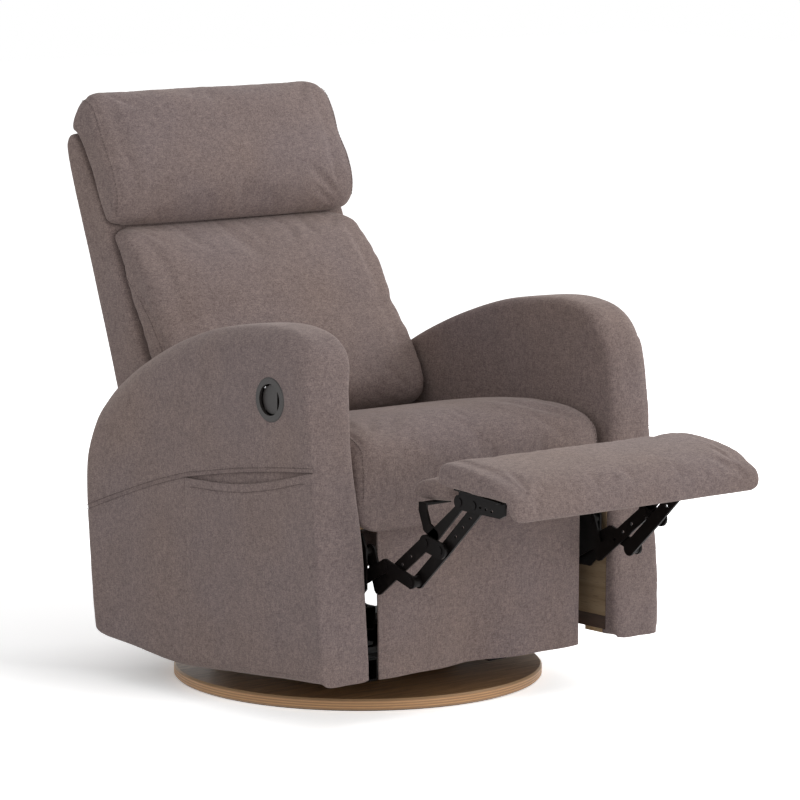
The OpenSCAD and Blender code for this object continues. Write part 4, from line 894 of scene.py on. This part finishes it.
def makeSoft(name):
    how = soft[name]
    piece = copyOf(how["node"], name)
    solid = copyOf(how["node"], "solid_form")
    remeshed(piece, how["voxel"], how["ease"])
    drawnOut(piece, solid)
    bpy.data.objects.remove(solid)

    def held(co, normal):
        ends = fade(np.abs(co[:, 0]), how["half"] - how["border"], how["half"] - how["border"] / 3)
        under = fade(normal @ np.array(how["rest"]), *stuffing["resting"])
        return np.maximum(ends, under)

    puffed(piece, how["pressure"], how["slack"], how["cap"], held)
    subdivided(piece)
    return piece


def sewnEnds(piece, name):
    how = endSeams[name]
    for s, depth, pucker in zip((-1, 1), how["depth"], how["pucker"]):
        edge = onSurface(piece, [(s * x, y, z) for x, y, z in how["line"]])
        sewn(piece, edge, depth, how["width"], pucker, how["spacing"], how["reach"], how["seed"] + s)
        stitched(soft[name]["body"], edge[how["shows"]], -s * how["aside"])


def dressSoft(piece, name):
    how = soft[name]
    shadeSoft(piece)
    finish(piece, fabric, how["body"], "fabric", how["node"])


def makeSeat():
    piece = makeSoft("seat_fabric")
    # the lower front edge hangs a little below the solid's
    co = pointsOf(piece)
    co[:, 2] -= (seatEdge["drop"] * fade(-co[:, 1], *seatEdge["ahead"])
                 * (1 - fade(co[:, 2], *seatEdge["above"])))
    setPoints(piece, co)
    rumpled(piece, *soft["seat_fabric"]["waves"])
    sewnEnds(piece, "seat_fabric")
    dressSoft(piece, "seat_fabric")


def makeBack():
    piece = makeSoft("back_fabric")
    rumpled(piece, *soft["back_fabric"]["waves"])
    rumpled(piece, *backBand["waves"], lambda co: fade(np.abs(co[:, 0]), *backBand["from"]))
    sewnEnds(piece, "back_fabric")
    dressSoft(piece, "back_fabric")


def roundedEnds(piece, half, wide, high, core, above):
    # rolls the two ends of a cushion further in towards its core line, above a height
    co = pointsOf(piece)
    t = np.clip((np.abs(co[:, 0]) - (half - wide)) / wide, 0, 1)
    roll = high * (1 - np.sqrt(1 - t * t)) * fade(co[:, 2], *above)
    toCore = np.array(core) - co[:, 1:]
    co[:, 1:] += toCore / np.linalg.norm(toCore, axis=1, keepdims=True) * roll[:, None]
    setPoints(piece, co)


def makePillow():
    piece = makeSoft("pillow_fabric")
    roundedEnds(piece, **pillowEnd)
    rumpled(piece, *soft["pillow_fabric"]["waves"])
    sewnEnds(piece, "pillow_fabric")
    dressSoft(piece, "pillow_fabric")


def makePad(name):
    piece = makeSoft(name)
    if soft[name]["waves"]:
        rumpled(piece, *soft[name]["waves"])
    dressSoft(piece, name)


makeSeat()
makeBack()
makePillow()
makePad("footrest_fabric")
makePad("flap_fabric")
print("cushions made")


# Outer back and rear apron: taut fabric over boards, from the solids' forms
taut = {"back_shell": dict(body="back", voxel=0.005, ease=8, waves=(0.0012, 7.0, 37)),
        "rear_apron": dict(body="chassis", voxel=0.004, ease=2, waves=(0.0010, 9.0, 41))}


def makeTaut(node):
    how = taut[node]
    piece = copyOf(node, node + "_fabric")
    remeshed(piece, how["voxel"], how["ease"])
    rumpled(piece, *how["waves"])
    shadeSoft(piece)
    finish(piece, fabric, how["body"], "fabric", node)


for node in taut:
    makeTaut(node)
print("outer back made")


# Skirt: one cloth that hangs in shallow folds, hemmed below. Each fold has its share, its whole turn
# over the skirt's width and its start, in degrees.
skirt = {"wide": 0.466, "top": 0.333, "hem": 0.074, "y": -0.330, "clear": 0.0015, "thick": 0.0026,
         "fold": 0.009, "folds": ((1, 540, 20), (0.45, 1152, 70)), "crumple": 0.0012,
         "columns": 290, "rows": 166, "hemHigh": 0.008, "hemEdge": (0.002, 0.001), "hemDeep": 0.0007,
         "grooveWide": 0.0013}


def skirtWave(s):
    return sum(share * math.sin(math.radians(turn * s + start)) for share, turn, start in skirt["folds"])


def makeSkirt():
    verts, faces = [], []
    for r in range(skirt["rows"] + 1):
        t = r / skirt["rows"]
        for c in range(skirt["columns"] + 1):
            s = c / skirt["columns"]
            x = (s - 0.5) * skirt["wide"]
            y = skirt["y"] - skirt["fold"] * t ** 1.3 * skirtWave(s)
            y += skirt["crumple"] * noise.noise(Vector((x * 14, t * 3, 4.0))) * t
            verts.append((x, y + skirt["clear"], lerp(skirt["top"], skirt["hem"], t)))
    wide = skirt["columns"] + 1
    for r in range(skirt["rows"]):
        for c in range(skirt["columns"]):
            q = r * wide + c
            faces.append((q, q + wide, q + wide + 1, q + 1))
    piece = newPiece("skirt_fabric", verts, faces)
    thick = piece.modifiers.new("thick", "SOLIDIFY")
    thick.thickness, thick.offset = skirt["thick"], 0
    bake(piece)
    # turned hems below and at both sides: doubled cloth with a sewn groove at its inner edge
    co, normal = pointsOf(piece), normalsOf(piece)
    edge = np.minimum(co[:, 2] - skirt["hem"], skirt["wide"] / 2 - np.abs(co[:, 0]))
    within, beyond = skirt["hemEdge"]
    doubled = 1 - fade(edge, skirt["hemHigh"] - within, skirt["hemHigh"] + beyond)
    groove = np.exp(-((edge - skirt["hemHigh"]) / skirt["grooveWide"]) ** 2)
    setPoints(piece, co + normal * (skirt["hemDeep"] * doubled - skirt["hemDeep"] * groove)[:, None])
    shadeSoft(piece, 60)
    finish(piece, fabric, "chassis", "fabric", "skirt")
    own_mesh(piece)


makeSkirt()
print("skirt made")


# Stitches

stitch = {"length": 0.0045, "pitch": 0.0068, "gauge": 0.0010, "sides": 6}


def stitchTree():
    tree = bpy.data.node_groups.new("stitches", "GeometryNodeTree")
    face = tree.interface
    face.new_socket("Geometry", in_out="INPUT", socket_type="NodeSocketGeometry")
    for key in ("pitch", "length", "gauge"):
        socket = face.new_socket(key.capitalize(), in_out="INPUT", socket_type="NodeSocketFloat")
        socket.default_value = stitch[key]
    face.new_socket("Thread", in_out="INPUT", socket_type="NodeSocketMaterial")
    face.new_socket("Geometry", in_out="OUTPUT", socket_type="NodeSocketGeometry")
    made = {}

    def add(key, kind, **settings):
        made[key] = tree.nodes.new(kind)
        for k, v in settings.items():
            setattr(made[key], k, v)
        return made[key]

    def join(a, out, b, into):
        tree.links.new(made[a].outputs[out], made[b].inputs[into])

    add("in", "NodeGroupInput")
    add("curve", "GeometryNodeMeshToCurve")
    add("spaced", "GeometryNodeResampleCurve", mode="LENGTH")
    add("tangent", "GeometryNodeInputTangent")
    add("turned", "FunctionNodeAlignRotationToVector", axis="Z")
    add("thread", "GeometryNodeMeshCylinder")
    made["thread"].inputs["Vertices"].default_value = stitch["sides"]
    add("radius", "ShaderNodeMath", operation="MULTIPLY")
    made["radius"].inputs[1].default_value = 0.5
    add("placed", "GeometryNodeInstanceOnPoints")
    add("real", "GeometryNodeRealizeInstances")
    add("set", "GeometryNodeSetMaterial")
    add("out", "NodeGroupOutput")
    join("in", "Geometry", "curve", "Mesh")
    join("curve", "Curve", "spaced", "Curve")
    join("in", "Pitch", "spaced", "Length")
    join("tangent", 0, "turned", "Vector")
    join("in", "Gauge", "radius", 0)
    join("radius", 0, "thread", "Radius")
    join("in", "Length", "thread", "Depth")
    join("spaced", "Curve", "placed", "Points")
    join("thread", "Mesh", "placed", "Instance")
    join("turned", "Rotation", "placed", "Rotation")
    join("placed", "Instances", "real", "Geometry")
    join("real", "Geometry", "set", "Geometry")
    join("in", "Thread", "set", "Material")
    join("set", "Geometry", "out", "Geometry")
    return tree


def makeStitches():
    tree = stitchTree()
    thread = next(s.identifier for s in tree.interface.items_tree
                  if s.in_out == "INPUT" and s.name == "Thread")
    for body, lines in stitchLines.items():
        verts, edges = [], []
        for line in lines:
            edges += [(len(verts) + i, len(verts) + i + 1) for i in range(len(line) - 1)]
            verts += [tuple(p) for p in line]
        mesh = bpy.data.meshes.new("stitches_" + body)
        mesh.from_pydata(verts, edges, [])
        piece = bpy.data.objects.new("stitches_" + body, mesh)
        scene.collection.objects.link(piece)
        maker = piece.modifiers.new("stitches", "NODES")
        maker.node_group = tree
        # the stitches take the darkened cloth, which is painted seam shade
        maker[thread] = fabricSeamShade
        bake(piece)
        finish(piece, fabricSeamShade, body, "fabric")


makeStitches()
print("stitches made")


# Floor, light and background

# shadeAt, shadeWide, shadeFade and shadeGlow place a painted shadow on the floor: a weaker glow around that
# point
studio = {"sky": 0.52, "floorSize": 14.0, "floorTone": 1.30, "floorBare": 0.86, "aim": (0, -0.1, 0.45),
          "shadeAt": (0.0, 0.62, 0.0), "shadeWide": 0.45, "shadeFade": 0.30, "shadeGlow": 0.09, "glow": 0.54,
          "key": dict(place=(0.9, -5.4, 1.3), power=66.0, size=3.0, colour=(1.0, 0.975, 0.95)),
          "fill": dict(place=(-4.6, -2.6, 2.0), power=37.0, size=3.0),
          "top": dict(place=(1.0, 0.2, 3.6), power=11.0, size=2.0),
          "side": dict(place=(4.2, -0.4, 2.3), power=88.0, size=1.8)}


def areaLight(name, place, power, size, colour=(1, 1, 1)):
    lamp = bpy.data.objects.new(name, bpy.data.lights.new(name, "AREA"))
    lamp.data.energy, lamp.data.size, lamp.data.color = power, size, colour
    lamp.location = place
    lamp.rotation_euler = (Vector(studio["aim"]) - Vector(place)).to_track_quat("-Z", "Y").to_euler()
    scene.collection.objects.link(lamp)


def seenDirectly(tree):
    # 1 where the surface is seen directly, in gloss or through glass
    path = tree.nodes.new("ShaderNodeLightPath")
    seen = Wire(tree, path.outputs["Is Camera Ray"])
    for name in ("Is Glossy Ray", "Is Transmission Ray"):
        seen = seen.does("MAXIMUM", seen, Wire(tree, path.outputs[name]))
    return seen


def makeFloor():
    size = studio["floorSize"]
    floor = newPiece("floor", [(-size, -size, 0), (size, -size, 0), (size, size, 0), (-size, size, 0)],
                     [(0, 1, 2, 3)])
    f = Finish("floor_white")
    bare = f.node("ShaderNodeBsdfDiffuse", {"Color": (studio["floorBare"],) * 3})
    # the floor glows, so that it stays white to its edge, and less so behind the chair, where the lamps'
    # shadow falls: the lower glow there is painted shadow
    away = f.node("ShaderNodeVectorMath", {0: f.places(), 1: studio["shadeAt"]}, out=1, operation="DISTANCE")
    lift = ((away - studio["shadeWide"]) / studio["shadeFade"]).kept()
    shade = studio["shadeGlow"] / studio["glow"]
    glow = f.node("ShaderNodeEmission", {"Color": f.mixed(lift, (shade,) * 3, (1, 1, 1)),
                                         "Strength": studio["glow"]})
    bright = f.node("ShaderNodeBsdfDiffuse", {"Color": (studio["floorTone"],) * 3})
    lit = f.node("ShaderNodeAddShader", {0: bright, 1: glow})
    both = f.node("ShaderNodeMixShader", {0: seenDirectly(f.tree), 1: bare, 2: lit})
    f.tree.links.new(both.socket, f.tree.nodes["Material Output"].inputs["Surface"])
    floor.data.materials.append(f.material)


def makeSky():
    world = bpy.data.worlds.new("studio")
    world.use_nodes = True
    scene.world = world
    sky = world.node_tree.nodes["Background"]
    sky.inputs["Color"].default_value = (1, 1, 1, 1)
    strength = seenDirectly(world.node_tree) * (1 - studio["sky"]) + studio["sky"]
    world.node_tree.links.new(strength.socket, sky.inputs["Strength"])


makeFloor()
makeSky()
for name in ("key", "fill", "top", "side"):
    areaLight(name, **studio[name])
scene.view_settings.view_transform = "Standard"
print("studio made")
